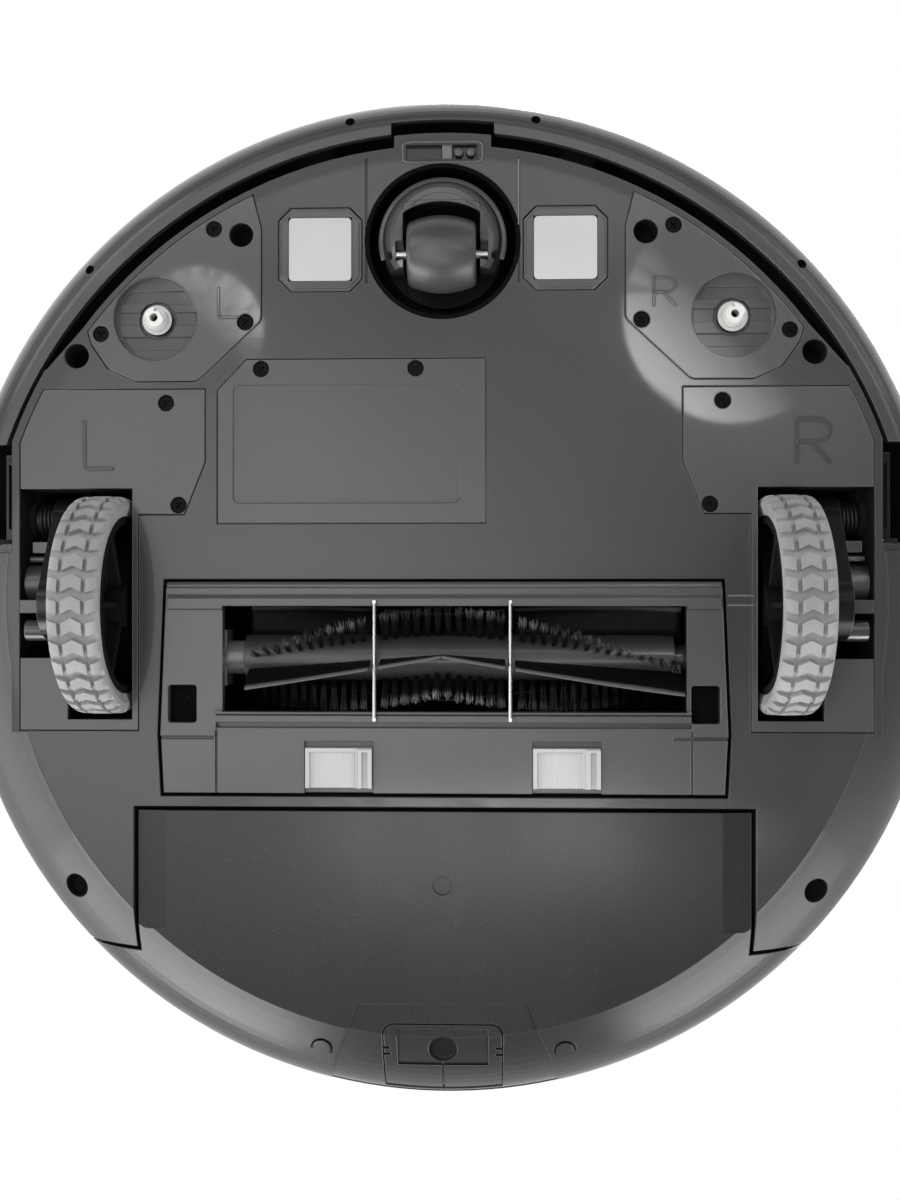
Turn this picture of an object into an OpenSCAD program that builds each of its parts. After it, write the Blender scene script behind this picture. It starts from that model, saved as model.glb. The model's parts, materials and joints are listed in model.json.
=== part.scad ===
// Robot vacuum cleaner, with its drive wheels hanging free as when it is lifted.
// Frame: origin on the floor plane under the middle of the body, +Z up, front towards -Y.
// Every piece is drawn from the flat belly, z = 0 there, and on_belly() lifts it into place.

/* [Body] */
// Diameter of the body at its widest ring
body_d = 330; // [327:1:336]
// Thickness of the body, from the flat belly to the top cover
body_h = 67; // [66:0.5:74]
// Width of the sloped ring between the flat belly and the widest ring
ring_w = 24; // [22:0.5:25]
// Height of the widest ring above the belly
ring_rise = 20; // [18:0.5:22]
// Height of the joint between chassis and top cover above the belly
split_h = 27; // [25:0.5:30]
// Wall of the moulded shells
wall = 2.4; // [2:0.1:2.6]
// Wall of the chassis behind the bumper
nose_wall = 1.6; // [1.4:0.1:2]
// Radius of the round shoulder on top
shoulder = 9; // [7:0.5:10]
// Gap between covers that are fastened together
seam = 0.3; // [0.2:0.05:0.4]

/* [Bumper] */
// Travel of the bumper towards the rear
bumper_travel = 2.5; // [1.5:0.1:2.6]
// Width of the bumper from its lip under the belly to its outer face
bumper_w = 15.2; // [14.8:0.1:15.4]
// Wall of the bumper
bumper_wall = 2.6; // [2.2:0.1:3]
// Distance from the middle to where the bumper's lip ends
lip_end_y = 50; // [46:1:54]
// Distance from the middle to the front ends of the rear ring
ring_end_y = 15; // [13:0.5:18]

/* [Drive wheels] */
// Diameter of the drive wheels over the tread
wheel_d = 70; // [68:0.5:71]
// Width of a tyre
tyre_w = 16; // [14:0.5:16.5]
// Distance from the middle to a tyre's inner face
tyre_x = 101; // [100.6:0.1:101.4]
// Distance of the wheel axle behind the middle, wheels hanging
axle_y = 1.9; // [1.4:0.1:2.2]
// Height of the wheel axle above the belly, wheels hanging
axle_h = 1.4; // [1:0.1:2]
// Number of tread blocks round a tyre
lugs = 33; // [27:2:35]
// Depth of the tread
tread_depth = 1.6; // [0.9:0.1:1.8]
// Gap between the roof of a wheel's well and the top cover
roof_gap = 1.1; // [0.8:0.1:4]
// Distance from the arm's pivot back to the hanging axle
arm_reach = 27.9; // [27:0.1:28.4]
// Radius of the arm's pivot pin
pivot_r = 2.5; // [2:0.1:3]
// Running clearance of a shaft in its bore
run_fit = 0.06; // [0.03:0.01:0.1]

/* [Caster] */
// Distance of the caster's swivel from the middle
caster_y = 114.4; // [114:0.1:114.8]
// Radius of the caster's well
caster_well_r = 23.5; // [23:0.1:23.8]
// Radius of the swivelling fork
fork_r = 19.5; // [19:0.1:20]
// Diameter of the caster's roller
roller_d = 24; // [23:0.5:25]
// Width of the caster's roller
roller_w = 21.6; // [20:0.2:22]
// Distance of the roller's axle behind the swivel
trail = 5.4; // [4.5:0.1:6]
// Height of the belly above the roller's lowest point
clearance_h = 16; // [15:0.5:17]

/* [Main brush] */
// Distance of the brush's axis behind the middle
brush_y = 19; // [18.6:0.1:19.4]
// Height of the brush's axis above the belly
brush_h = 8; // [7.4:0.1:8.6]
// Diameter of the brush over its bristles
brush_d = 35; // [32:0.5:35]
// Diameter of the brush's core
core_d = 15; // [14:0.5:16]
// Distance from the middle to the brush's bearing end, on the -X side
brush_left = 70; // [69:0.5:71]
// Distance from the middle to the brush's drive end, on the +X side
brush_right = 77; // [76:0.5:78]
// Distance of the guard's wires from the middle
wire_x = 21.6; // [20:0.2:23]
// Diameter of the guard's wires
wire_d = 1.2; // [1:0.1:1.8]

/* [Dust bin] */
// Distance of the bin's front face behind the middle
bin_y = 68; // [67.4:0.2:69]
// Half the width of the bin
bin_x = 98.2; // [97.6:0.2:98.6]
// Height of the bin
bin_h = 50; // [48:0.5:51]
// Distance from the middle to where the bin's ears begin
ear_y = 114.4; // [113:0.2:116]
// Wall of the bin
bin_wall = 2; // [1.6:0.1:2.2]
// Gap between the bin and the bay round it
bin_gap = 0.4; // [0.35:0.05:0.5]

/* [Side brush shafts] */
// Distance of a side brush shaft from the middle, sideways
spin_x = 92.6; // [92:0.1:93]
// Distance of a side brush shaft in front of the middle
spin_y = 90.3; // [90:0.1:90.6]
// Radius of the round recess about a side brush shaft
spin_recess_r = 13.4; // [12.6:0.1:13.6]
// Radius of a side brush shaft
spin_r = 3.6; // [3:0.1:4]

/* [Battery and contacts] */
// Width of the battery cover
battery_w = 86.6; // [84:0.2:87]
// Length of the battery cover
battery_l = 53; // [51:0.2:53.4]
// Width of a charging contact
contact_w = 20.1; // [18:0.1:21]
// Distance of a charging contact from the middle, sideways
contact_x = 39.2; // [38.9:0.1:39.5]
// Distance of a charging contact in front of the middle
contact_y = 111.9; // [111.4:0.1:112.4]

/* [Fasteners] */
// Radius of a screw's head
head_r = 2.3; // [2:0.1:2.4]
// Radius of a screw's shank
shank_r = 1.3; // [1.1:0.05:1.4]

/* [Hidden] */
$fn = 72;

// Body
body_r = body_d / 2;
belly_r = body_r - ring_w;
belly_z = wheel_d / 2 - axle_h;
fit = 0.35;
over = 1;
lip_r = body_r - bumper_w;
nose_r = lip_r - bumper_travel - 2.1;
side_r = lip_r - 1.6;
side_x = side_r - 9;
side_y = 74;
flare_turn = 37.5;
notch_x = 15.5;
notch_step = 3.8;
ring_steps = 12;
cover_t = wall;
rim_r = body_r - shoulder;
bay_back_y = 43;
dome_y = rim_r - 30;

// Drive wheels
wheel_r = wheel_d / 2;
housing_t = 2.2;
tyre_gap = 0.9;
well_roof = body_h - cover_t - roof_gap;
// Height that a wheel rises by when its spring gives way
wheel_travel = well_roof - housing_t - tyre_gap - wheel_r - axle_h;
pivot_y = axle_y - arm_reach;
pivot_h = axle_h + wheel_travel / 2;
tyre_out = tyre_x + tyre_w;
well_in = tyre_x - 1;
well_front = -35.6;
well_step_x = tyre_out + 4;
well_step_y = 19;
swing_r = norm([arm_reach, wheel_travel / 2]);
well_end = pivot_y + swing_r + wheel_r + tyre_gap;
well_back = well_end - 1.5;
ear_t = 1.8;
ear_in = tyre_out + 0.7;
ear_out = side_x - wall - seam - ear_t;
arm_in = ear_in + ear_t + seam;
arm_out = side_x - wall - 0.8;
arm_t = 8;
barrel_r = 4.4;
axle_r = 3;
tyre_t = 6.5;

// Caster
roller_h = roller_d / 2 - clearance_h;
stem_r = 4;
fork_top = 12;
socket_t = 1.2;
socket_h = fork_top + 0.4 + wall;
caster_axle_r = 1.5;
slot_w = roller_w + 2.6;

// Brush
guard_x = 90;
guard_front = -5.6;
guard_back = 62.6;
guard_t = 3.4;
guard_proud = 1.4;
bar_rise = 1;
lip_t = 0.7;
lip_gap = 1.2;
mouth_left = 70.4;
mouth_right = 77.5;
mouth_front = 2.2;
mouth_back = 36;
chamber_r = brush_d / 2 + 2.2;
chamber_x0 = -brush_left - 3;
chamber_x1 = brush_right + 1.5;
wire_h = -guard_proud - bar_rise - wire_d / 2 - 0.05;

// Bin
tunnel_t = 2.2;
inlet_x = 60;
inlet_low = 13;
inlet_high = 38;
flap_h = 41;
flap_pin_r = 1.5;
flap_y = bin_y + bin_wall + flap_pin_r + 0.3;
lug_x = inlet_x + 2.4;

// Battery: the cover's middle
battery_cx = -29.3;
battery_cy = -50.6;
battery_wall = 2;
battery_t = wall / 2;
// Edges of the wheel plates, beside the battery
plate_in = battery_w / 2 - battery_cx + 3.6;
plate_front = battery_cy - 17.1;
cell_r = 9.2;
cell_l = 66;

// Side brush modules
module_t = wall;
gearbox_h = 22;
// Length of a side brush shaft's round seat
seat_l = 2.5;

// Screws of the left and right halves, as x, y
spin = [spin_x, -spin_y];
module_screws = [for (p = [[-19.1, -28.7], [-29.2, 1.3], [17.6, 4.8]]) spin + p];
service_hole = spin + [-27.9, -26.7];
wheel_screws = [[plate_in + 12.8, plate_front + 4.6], [plate_in + 8.8, well_front + 5.4]];
battery_screws = [for (x = [-29, 20.7]) [battery_cx + x, battery_cy - battery_l / 2 + 3.2]];
deep_holes = [(body_r - 13) * [cos(38), sin(38)], (nose_r - 3.5) * [cos(33.6), -sin(33.6)]];
panel_x = caster_well_r + 0.6;

// ---------- helpers ----------

module on_belly() translate([0, 0, belly_z]) children();
module at(x, y, z = 0) translate([x, y, z]) children();
module sides() {
    children();
    mirror([1, 0, 0]) children();
}
module right_side(flip) {
    if (flip) mirror([1, 0, 0]) children();
    else children();
}
module rod_x(r, x0, x1, y, z) translate([x0, y, z]) rotate([0, 90, 0]) cylinder(r = r, h = x1 - x0);
module slab(x0, x1, y0, y1) translate([x0, y0]) square([x1 - x0, y1 - y0]);
module block(x0, x1, y0, y1, z0, z1) translate([x0, y0, z0]) cube([x1 - x0, y1 - y0, z1 - z0]);
module soft(r) offset(r = r) offset(delta = -r) children();

// Points of a curve from a to c that leaves and arrives along the lines to b
function bend(a, b, c, n = ring_steps) = [
    for (i = [0:n]) let (t = i / n) (1 - t) * (1 - t) * a + 2 * t * (1 - t) * b + t * t * c
];

// Side of the body as radius and height: sloped ring, widest ring, then straight up; d is the inset
function ring_side(d) = bend(
    [belly_r - d * 0.35, d], [body_r - 2.5 - d, ring_rise * 0.45 + d * 0.55], [body_r - d, ring_rise]
);
function shoulder_side(d) = bend(
    [body_r - d, body_h - shoulder - 3], [body_r - d, body_h - d], [rim_r - d, body_h - d]
);

// The body's lower part, turned from its side, up to height top; d is the inset
module lower_turn(d, top) rotate_extrude()
    polygon(concat([[0, d]], ring_side(d), [[body_r - d, top], [0, top]]));
// The body's upper part with its shoulder, from height z0; d is the inset
module upper_turn(d, z0) rotate_extrude()
    polygon(concat([[0, z0], [body_r - d, z0]], shoulder_side(d), [[0, body_h - d]]));

// ---------- outlines seen from above ----------

// Front part of the chassis, behind the bumper; d is the inset, back is where it ends
module front_plan(d = 0, back = -ring_end_y) {
    intersection() {
        union() {
            circle(r = nose_r - min(d, nose_wall));
            // the edge swings out to the sides along a straight stretch
            sides() polygon([
                [0, 0], (nose_r - min(d, nose_wall) - 0.1) * [cos(flare_turn), -sin(flare_turn)],
                [sqrt(pow(side_r - d - 0.15, 2) - pow(side_y - d - 1, 2)), d + 1 - side_y]
            ]);
            intersection() {
                circle(r = side_r - d);
                slab(-body_r, body_r, -side_y + d, body_r);
            }
            intersection() {
                circle(r = nose_r + notch_step - d);
                slab(-notch_x + d, notch_x - d, -body_r, 0);
            }
        }
        slab(-side_x + d, side_x - d, -body_r, back);
    }
}
// Rear part of the body, whose round edge comes from a revolved side
module rear_plan(d = 0) slab(-body_r - over, body_r + over, -ring_end_y + d, body_r + over);
// The bin's outline; d grows it
module bin_plan(d = 0) {
    intersection() {
        circle(r = body_r + over);
        union() {
            slab(-bin_x - d, bin_x + d, bin_y - d, body_r + over);
            slab(-body_r, body_r, ear_y - d, body_r + over);
        }
    }
}
// Cover plate of the right wheel housing, which closes the belly in front of the wheel
module wheel_plate_plan(d = 0) {
    intersection() {
        front_plan(wall + 0.1 + d, well_end + wall);
        union() {
            offset(delta = -d) polygon([
                [plate_in, plate_front], [side_r, plate_front], [side_r, well_front + 8.6],
                [plate_in + 6.8, well_front + 8.6], [plate_in, well_front - 8.4]
            ]);
            slab(well_in - housing_t + d, side_x, well_front - housing_t, well_end + housing_t - d);
        }
    }
}
// Opening that the right wheel comes through
module wheel_mouth_plan() {
    slab(well_in, side_x, well_front, well_step_y);
    slab(well_in, well_step_x, well_front, well_back);
}
// Plate of the right side brush module
module brush_plate_plan(d = 0) {
    intersection() {
        circle(r = nose_r - nose_wall - 0.1 - d);
        offset(delta = -d) soft(4) translate(spin) polygon([
            [-34.6, 0.9], [-34.6, -28.7], [-26.6, -59.7], [47.4, -19.7], [22.4, 2.6],
            [20.9, 8.3], [15.4, 16.3], [6.4, 20.5], [-13.6, 20.5]
        ]);
    }
}
module battery_plan(d = 0) {
    offset(delta = -d) polygon([
        [battery_cx - battery_w / 2 + 9.5, battery_cy - battery_l / 2],
        [battery_cx + battery_w / 2, battery_cy - battery_l / 2],
        [battery_cx + battery_w / 2, battery_cy + battery_l / 2],
        [battery_cx - battery_w / 2, battery_cy + battery_l / 2],
        [battery_cx - battery_w / 2, battery_cy - battery_l / 2 + 10]
    ]);
}
module guard_plan(d = 0) {
    offset(delta = -d) polygon([
        [-guard_x + 1, guard_front], [guard_x - 1, guard_front], [guard_x + 1, guard_back - 19],
        [guard_x, guard_back], [-guard_x, guard_back], [-guard_x - 1, guard_back - 19]
    ]);
}
module contact_frame_plan(d = 0) {
    c = contact_w / 2 + 3.2 - d;
    b = 4;
    at(contact_x, -contact_y) polygon([
        [-c + b, -c], [c - b, -c], [c, -c + b], [c, c - b], [c - b, c], [-c + b, c], [-c, c - b], [-c, -c + b]
    ]);
}

// ---------- chassis and its covers ----------

module screw_seats(points, h = 8) for (p = points) at(p.x, p.y) cylinder(r = head_r + 1.7, h = h);
module screw_wells(points) for (p = points) at(p.x, p.y) {
    at(0, 0, -over) cylinder(r = head_r + fit, h = over + 2.4);
    cylinder(r = shank_r, h = 7);
}

module chassis_base() color("#4b4b4b") on_belly() {
    difference() {
        union() {
            difference() {
                union() {
                    linear_extrude(split_h) front_plan(0, bay_back_y);
                    intersection() {
                        linear_extrude(split_h) rear_plan();
                        lower_turn(0, split_h);
                    }
                }
                // the inside, in front and between the wheels, then along the rear ring
                at(0, 0, wall) linear_extrude(body_h) front_plan(wall, bay_back_y);
                intersection() {
                    at(0, 0, wall) linear_extrude(body_h) difference() {
                        rear_plan(wall);
                        sides() slab(side_x - wall, side_x, -body_r, bay_back_y);
                    }
                    lower_turn(wall, body_h);
                }
            }
            // tongues that close the gap behind the bumper's ends
            sides() intersection() {
                block(side_x - 1, body_r - 6, 0.4 - bumper_end_y, 1 - ring_end_y, 0, split_h - 0.5);
                lower_turn(1, split_h);
            }
            // bosses that the screws and the feet of other pieces stand in
            sides() for (p = deep_holes) intersection() {
                at(p.x, p.y, 1) cylinder(r = 6, h = 13);
                lower_turn(0.5, split_h);
            }
            screw_seats(battery_screws);
            at(0, 0, wall / 2) linear_extrude(24) difference() {
                battery_plan(battery_wall - 1.6);
                battery_plan(battery_wall);
            }
        }
        belly_cuts();
        screw_wells(battery_screws);
    }
}
// Everything that is cut through the belly
module belly_cuts() {
    at(0, 0, -over) linear_extrude(wall + 2 * over) {
        at(0, -caster_y) circle(r = caster_well_r + socket_t + 0.2);
        sides() {
            wheel_plate_plan();
            brush_plate_plan();
            contact_frame_plan(-seam);
        }
        battery_plan(battery_wall);
        guard_plan(-0.8);
        at(0, -window_y) slab(-12.8, 12.8, -3.3, 3.3);
    }
    // the cover's seat leaves a ledge half the wall thick
    at(0, 0, -over) linear_extrude(over + battery_t) battery_plan();
    at(0, 0, -over) linear_extrude(body_h) bin_plan(1.4);
    sides() {
        for (p = deep_holes) at(p.x, p.y, -over) cylinder(r = 4, h = 12 + over);
        at(body_r - 16, ring_end_y, -over) cylinder(r = 2.7, h = 5.2 + over);
        // groove between belly panels
        block(panel_x, panel_x + 0.6, -nose_r + 4.2, -caster_y + 13.4, -over, 0.5);
    }
}

module top_cover() color("#3f3f3f") on_belly() {
    plate_h = body_h - cover_t;
    difference() {
        union() {
            // rear half, with its round shoulder
            difference() {
                intersection() {
                    at(0, 0, split_h) linear_extrude(body_h) rear_plan();
                    upper_turn(0, split_h);
                }
                intersection() {
                    linear_extrude(body_h) rear_plan(wall);
                    upper_turn(cover_t, 0);
                }
            }
            // front half: the wall behind the bumper and the plate over it
            at(0, 0, split_h) linear_extrude(plate_h - split_h + 0.2) difference() {
                front_plan();
                front_plan(wall);
            }
            at(0, 0, plate_h) linear_extrude(cover_t) intersection() {
                circle(r = rim_r);
                slab(-body_r, body_r, -body_r, 0);
            }
        }
        // room for the front inside, past the end wall of the rear half
        at(0, 0, split_h - over) linear_extrude(plate_h - split_h + over) front_plan(wall, 0);
        at(0, 0, -over) linear_extrude(bin_h + bin_gap + over) bin_plan(1.4);
        at(0, 0, -over) linear_extrude(bin_h + bin_gap + tunnel_t + seam + over) intersection() {
            bin_plan(tunnel_t + bin_gap + seam);
            circle(r = body_r - wall - seam);
        }
        sides() tongue_slot();
        buttons_cut();
        at(0, -dome_y, plate_h - over) cylinder(r = 9 + seam, h = cover_t + 2 * over);
        exhaust_cuts();
    }
    // posts that hold the main board
    for (p = board_posts) at(p.x, p.y) {
        at(0, 0, board_h + board_t) cylinder(r = 3, h = plate_h - board_h - board_t + 0.2);
        at(0, 0, board_h - 1.5) cylinder(r = 1.4, h = plate_h - board_h);
    }
}
board_t = 1.6;
board_h = body_h - cover_t - 8;
board_w = 120;
board_l = 96;
board_y = -52;
board_posts = [for (x = [-1, 1], y = [-1, 1]) [x * (board_w / 2 - 6), board_y + y * (board_l / 2 - 6)]];
button_y = -84;
module buttons_cut() {
    at(0, button_y, body_h - cover_t - over) cylinder(r = 11 + fit, h = cover_t + 2 * over);
    at(0, button_y + 26, body_h - cover_t - over) cylinder(r = 6 + fit, h = cover_t + 2 * over);
}
// Air leaves through a row of upright slots in the side, by the fan
module exhaust_cuts() for (i = [0:11]) rotate(144 + i * 3)
    block(body_r - 8, body_r + over, -1.5, 1.5, split_h + 6, split_h + 20);

module bin_tunnel() color("#333333") on_belly() {
    inside = body_r - wall - seam;
    difference() {
        intersection() {
            at(0, 0, wall) linear_extrude(bin_h + bin_gap + tunnel_t - wall) intersection() {
                bin_plan(bin_gap + tunnel_t);
                circle(r = inside);
            }
            rotate_extrude() polygon(concat(
                [[0, 0]], ring_side(wall + seam), [[inside, body_h - shoulder - 4], [0, body_h]]
            ));
        }
        at(0, 0, -over) linear_extrude(bin_h + bin_gap + over) bin_plan(bin_gap);
        block(-inlet_x, inlet_x, bin_y - 10, bin_y + 1, inlet_low, inlet_high);
        rod_x(outlet_r, -bin_x - 10, -bin_x + 2, outlet_y, outlet_h);
    }
}

module battery_cover() color("#5a5a5a") on_belly() difference() {
    linear_extrude(battery_t) battery_plan(seam);
    for (p = battery_screws) at(p.x, p.y, -over) cylinder(r = head_r + fit, h = 5);
    // sunk field for a label, left bare
    at(battery_cx, battery_cy, -over) linear_extrude(over + 0.4) soft(2)
        slab(-battery_w / 2 + 5.3, battery_w / 2 - 8.4, -battery_l / 2 + 8.4, battery_l / 2 - 6.6);
}
// Four cells, two side by side and two high, in one sleeve
module battery_pack() color("#2f4f6f") on_belly()
    at(battery_cx - cell_l / 2, battery_cy + 1.5, battery_t + 0.2 + cell_r)
    rotate([90, 0, 90]) linear_extrude(cell_l) {
        for (y = [-cell_r, cell_r], z = [0, 2 * cell_r]) at(y, z) circle(r = cell_r);
        slab(-cell_r, cell_r, -cell_r, 3 * cell_r);
        slab(-2 * cell_r, 2 * cell_r, 0, 2 * cell_r);
    }

module main_board() color("#1f5f3a") on_belly() difference() {
    at(0, board_y, board_h) linear_extrude(board_t) soft(4) square([board_w, board_l], center = true);
    for (p = board_posts) at(p.x, p.y) cylinder(r = 1.6, h = body_h);
}

// ---------- suction fan ----------

fan_r = 19;
fan_x = -bin_x - bin_gap - tunnel_t - fan_r - 0.7;
fan_y = 66;
fan_z0 = split_h + 3;
fan_z1 = body_h - cover_t - 3;
outlet_y = 85;
outlet_h = 30;
outlet_r = 12;
module fan_housing() color("#5f6366") on_belly() difference() {
    union() {
        at(fan_x, fan_y, fan_z0) cylinder(r = fan_r, h = fan_z1 - fan_z0);
        // feet that reach down to the ring's inside
        intersection() {
            at(fan_x, fan_y, wall) for (a = [30, 150, 270]) rotate(a) at(fan_r - 4, 0)
                cylinder(r = 3, h = fan_z0 - wall + 1);
            lower_turn(wall + 0.1, body_h);
        }
    }
    at(fan_x, fan_y, fan_z0) {
        at(0, 0, 2) cylinder(r = fan_r - 2, h = 14);
        // inlet from the bin's side, outlet towards the side vents
        rod_x(7, 0, fan_r + 2, 0, 9);
        rotate(150) block(0, fan_r + 2, -6, 6, 4, 13);
        at(0, 0, 12) cylinder(r = 2 + run_fit, h = 10);
    }
}
module fan_impeller() color("#b8bcc0") on_belly() at(fan_x, fan_y, fan_z0 + 4) {
    cylinder(r = fan_r - 4, h = 1.4);
    cylinder(r = 4, h = 8);
    cylinder(r = 2, h = 14);
    for (i = [0:8]) rotate(i * 40) at(3, 0, 0) rotate(-25) block(0, fan_r - 7.5, -0.6, 0.6, 0, 8);
}

// ---------- wheel modules ----------

module wheel_housing(flip) color("#545454") on_belly() right_side(flip) difference() {
    union() {
        difference() {
            union() {
                linear_extrude(wall) wheel_plate_plan(seam);
                linear_extrude(well_roof) intersection() {
                    wheel_plate_plan(seam);
                    slab(well_in - housing_t, side_x, well_front - housing_t, well_end + housing_t);
                }
                linear_extrude(8) intersection() {
                    for (p = wheel_screws) at(p.x, p.y) circle(r = head_r + 1.7);
                    wheel_plate_plan(seam);
                }
            }
            // the well, open at the chassis wall and below
            block(well_in, side_x, well_front, well_end, wall, well_roof - housing_t);
            at(0, 0, -over) linear_extrude(wall + 2 * over) wheel_mouth_plan();
            screw_wells(wheel_screws);
        }
        // two ears that the arm swings between
        for (x = [ear_in, ear_out]) {
            block(x, x + ear_t, well_front - over, pivot_y + 6, pivot_h, well_roof - over);
            rod_x(6, x, x + ear_t, pivot_y, pivot_h);
        }
    }
    rod_x(pivot_r + run_fit, ear_in - over, ear_out + ear_t + over, pivot_y, pivot_h);
}

// The arm is a gearbox that swings on its pivot pin and carries wheel and motor
module wheel_arm(flip) color("#3c3c3e") on_belly() right_side(flip) {
    at(arm_in, 0) rotate([90, 0, 90]) linear_extrude(arm_t) {
        at(pivot_y, pivot_h) circle(r = 7.5);
        at(axle_y, axle_h) circle(r = 11);
        arm_web();
    }
    rod_x(barrel_r, arm_in, ear_out - seam, pivot_y, pivot_h);
    rod_x(pivot_r, ear_in, ear_out + ear_t, pivot_y, pivot_h);
    // motor and the gearbox's bearing cap, across the arm
    rod_x(6.2, arm_in, arm_out, axle_y - 7, axle_h + 7);
    rod_x(3.4, arm_in, arm_out - 1.5, axle_y + 8.2, axle_h);
    // ledge, bar and dowel on the outer face
    block(arm_in, arm_out, axle_y - 1.6, axle_y + 2.6, axle_h - 3.4, axle_h + 5);
    block(arm_in + arm_t - 1, arm_out - 2, pivot_y + 7.4, pivot_y + 11, pivot_h - 9, pivot_h - 4.6);
    rod_x(1, arm_in + arm_t - 1, arm_out - 1, pivot_y + 13, pivot_h - 8);
    // stub that the wheel turns on
    rod_x(axle_r, tyre_x + 4, arm_in + over, axle_y, axle_h);
}
// Straight sides of the arm, between its two round ends
module arm_web() polygon([
    [pivot_y - 3, pivot_h - 6.8], [axle_y - 7, axle_h - 8.4],
    [axle_y + 5, axle_h + 9.7], [pivot_y + 3, pivot_h + 6.8]
]);

// Torsion spring round the arm's barrel: a helix swept by a small ring of points
spring_wire = 1.2;
spring_sides = 6;
spring_room = ear_out - seam - arm_in - arm_t - 0.1;
spring_turns = floor((spring_room - spring_wire) / (spring_wire + 0.1));
spring_pitch = (spring_room - spring_wire) / spring_turns;
spring_steps = 14;
function spring_point(i, j) = let (
    turn = 360 * i / spring_steps, around = 360 * j / spring_sides,
    r = barrel_r + seam + spring_wire / 2 + spring_wire / 2 * cos(around)
) [r * cos(turn), r * sin(turn), spring_pitch * i / spring_steps + spring_wire / 2 * (1 + sin(around))];
module torsion_spring(flip) color("#c8c8c8") on_belly() right_side(flip)
    at(arm_in + arm_t + 0.1, pivot_y, pivot_h) rotate([0, 90, 0]) polyhedron(
        points = [for (i = [0:spring_turns * spring_steps], j = [0:spring_sides - 1]) spring_point(i, j)],
        faces = concat(
            [[for (j = [0:spring_sides - 1]) j]],
            [for (i = [0:spring_turns * spring_steps - 1], j = [0:spring_sides - 1])
                let (k = (j + 1) % spring_sides, a = i * spring_sides, b = a + spring_sides)
                    [a + j, b + j, b + k, a + k]],
            [[for (j = [spring_sides - 1:-1:0]) spring_turns * spring_steps * spring_sides + j]]
        )
    );

// Wheel drawn about its own axis, with z across it from the inner face
module on_axle(flip) on_belly() right_side(flip) at(tyre_x, axle_y, axle_h) rotate([0, 90, 0]) children();
hub_r = wheel_r - tyre_t;
module wheel_hub(flip) color("#2b2b2b") on_axle(flip) difference() {
    at(0, 0, 1) cylinder(r = hub_r, h = tyre_w - 2);
    // dished on both sides, leaving rim, web, ribs and boss
    difference() {
        union() {
            at(0, 0, tyre_w / 2 + 2) ring(hub_r - 2.5, axle_r + 4, tyre_w);
            at(0, 0, -over) ring(hub_r - 2.5, axle_r + 4, tyre_w / 2 - 1);
        }
        for (i = [0:5]) rotate(i * 60) block(axle_r + 3, hub_r - 2, -0.9, 0.9, 2, tyre_w - 2);
    }
    at(0, 0, 3.7) cylinder(r = axle_r + run_fit, h = tyre_w);
}
module ring(r_out, r_in, h) difference() {
    cylinder(r = r_out, h = h);
    at(0, 0, -over) cylinder(r = r_in, h = h + 2 * over);
}
function tyre_side() = concat(
    [[hub_r, 1.2]], bend([wheel_r - 3.2, 0], [wheel_r - 0.4, 0.2], [wheel_r - 0.2, 2.4], 4),
    [[wheel_r, tyre_w / 2 - 2]]
);
// Rows of tread blocks: zigzag grooves across, two narrow ring grooves round
groove_w = 2.7;
slit_w = 1.3;
slit_z = tyre_w * 0.23;
tread_line = [[-0.7, -9], [1, -slit_z], [-0.9, 0], [1, slit_z], [-0.7, 9]];
module wheel_tyre(flip) color("#b4b4b0") on_axle(flip) difference() {
    rotate_extrude() polygon(concat(
        tyre_side(), [for (i = [6:-1:0]) let (p = tyre_side()[i]) [p.x, tyre_w - p.y]]
    ));
    for (s = [-1, 1]) at(0, 0, tyre_w / 2 + s * slit_z - slit_w / 2)
        rotate_extrude() slab(wheel_r - tread_depth, wheel_r + over, 0, slit_w);
    for (i = [0:lugs - 1]) rotate((i + 0.5) * 360 / lugs) at(wheel_r - tread_depth - 0.15, 0, tyre_w / 2)
        rotate([90, 0, 90]) linear_extrude(tread_depth + over) polygon(concat(
            [for (p = tread_line) [p.x - groove_w / 2, p.y]],
            [for (i = [4:-1:0]) [tread_line[i].x + groove_w / 2, tread_line[i].y]]
        ));
}

// ---------- side brush modules ----------

module brush_module(flip) color("#686868") on_belly() right_side(flip) difference() {
    union() {
        linear_extrude(module_t) brush_plate_plan(seam);
        at(spin_x, -spin_y) cylinder(r = spin_recess_r + 0.5, h = gearbox_h);
        linear_extrude(8) intersection() {
            for (p = module_screws) at(p.x, p.y) circle(r = head_r + 1.7);
            brush_plate_plan(seam);
        }
        translate(service_hole) cylinder(r = 5.2, h = 10);
    }
    at(spin_x, -spin_y) {
        at(0, 0, -over) cylinder(r = spin_recess_r, h = 3 + over);
        cylinder(r = spin_r + 2.4, h = 4.5);
        cylinder(r = spin_r + run_fit, h = gearbox_h - 4);
        // two ridges are left across the recess between three deeper bands
        intersection() {
            cylinder(r = spin_recess_r - 0.8, h = 4);
            for (y = [-9.4, -2.6, 5.4]) block(-spin_recess_r, spin_recess_r, y, y + 4.2, 0, 3.7);
        }
    }
    translate(service_hole) at(0, 0, -over) cylinder(r = 3.9, h = 9 + over);
    screw_wells(module_screws);
}
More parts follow.
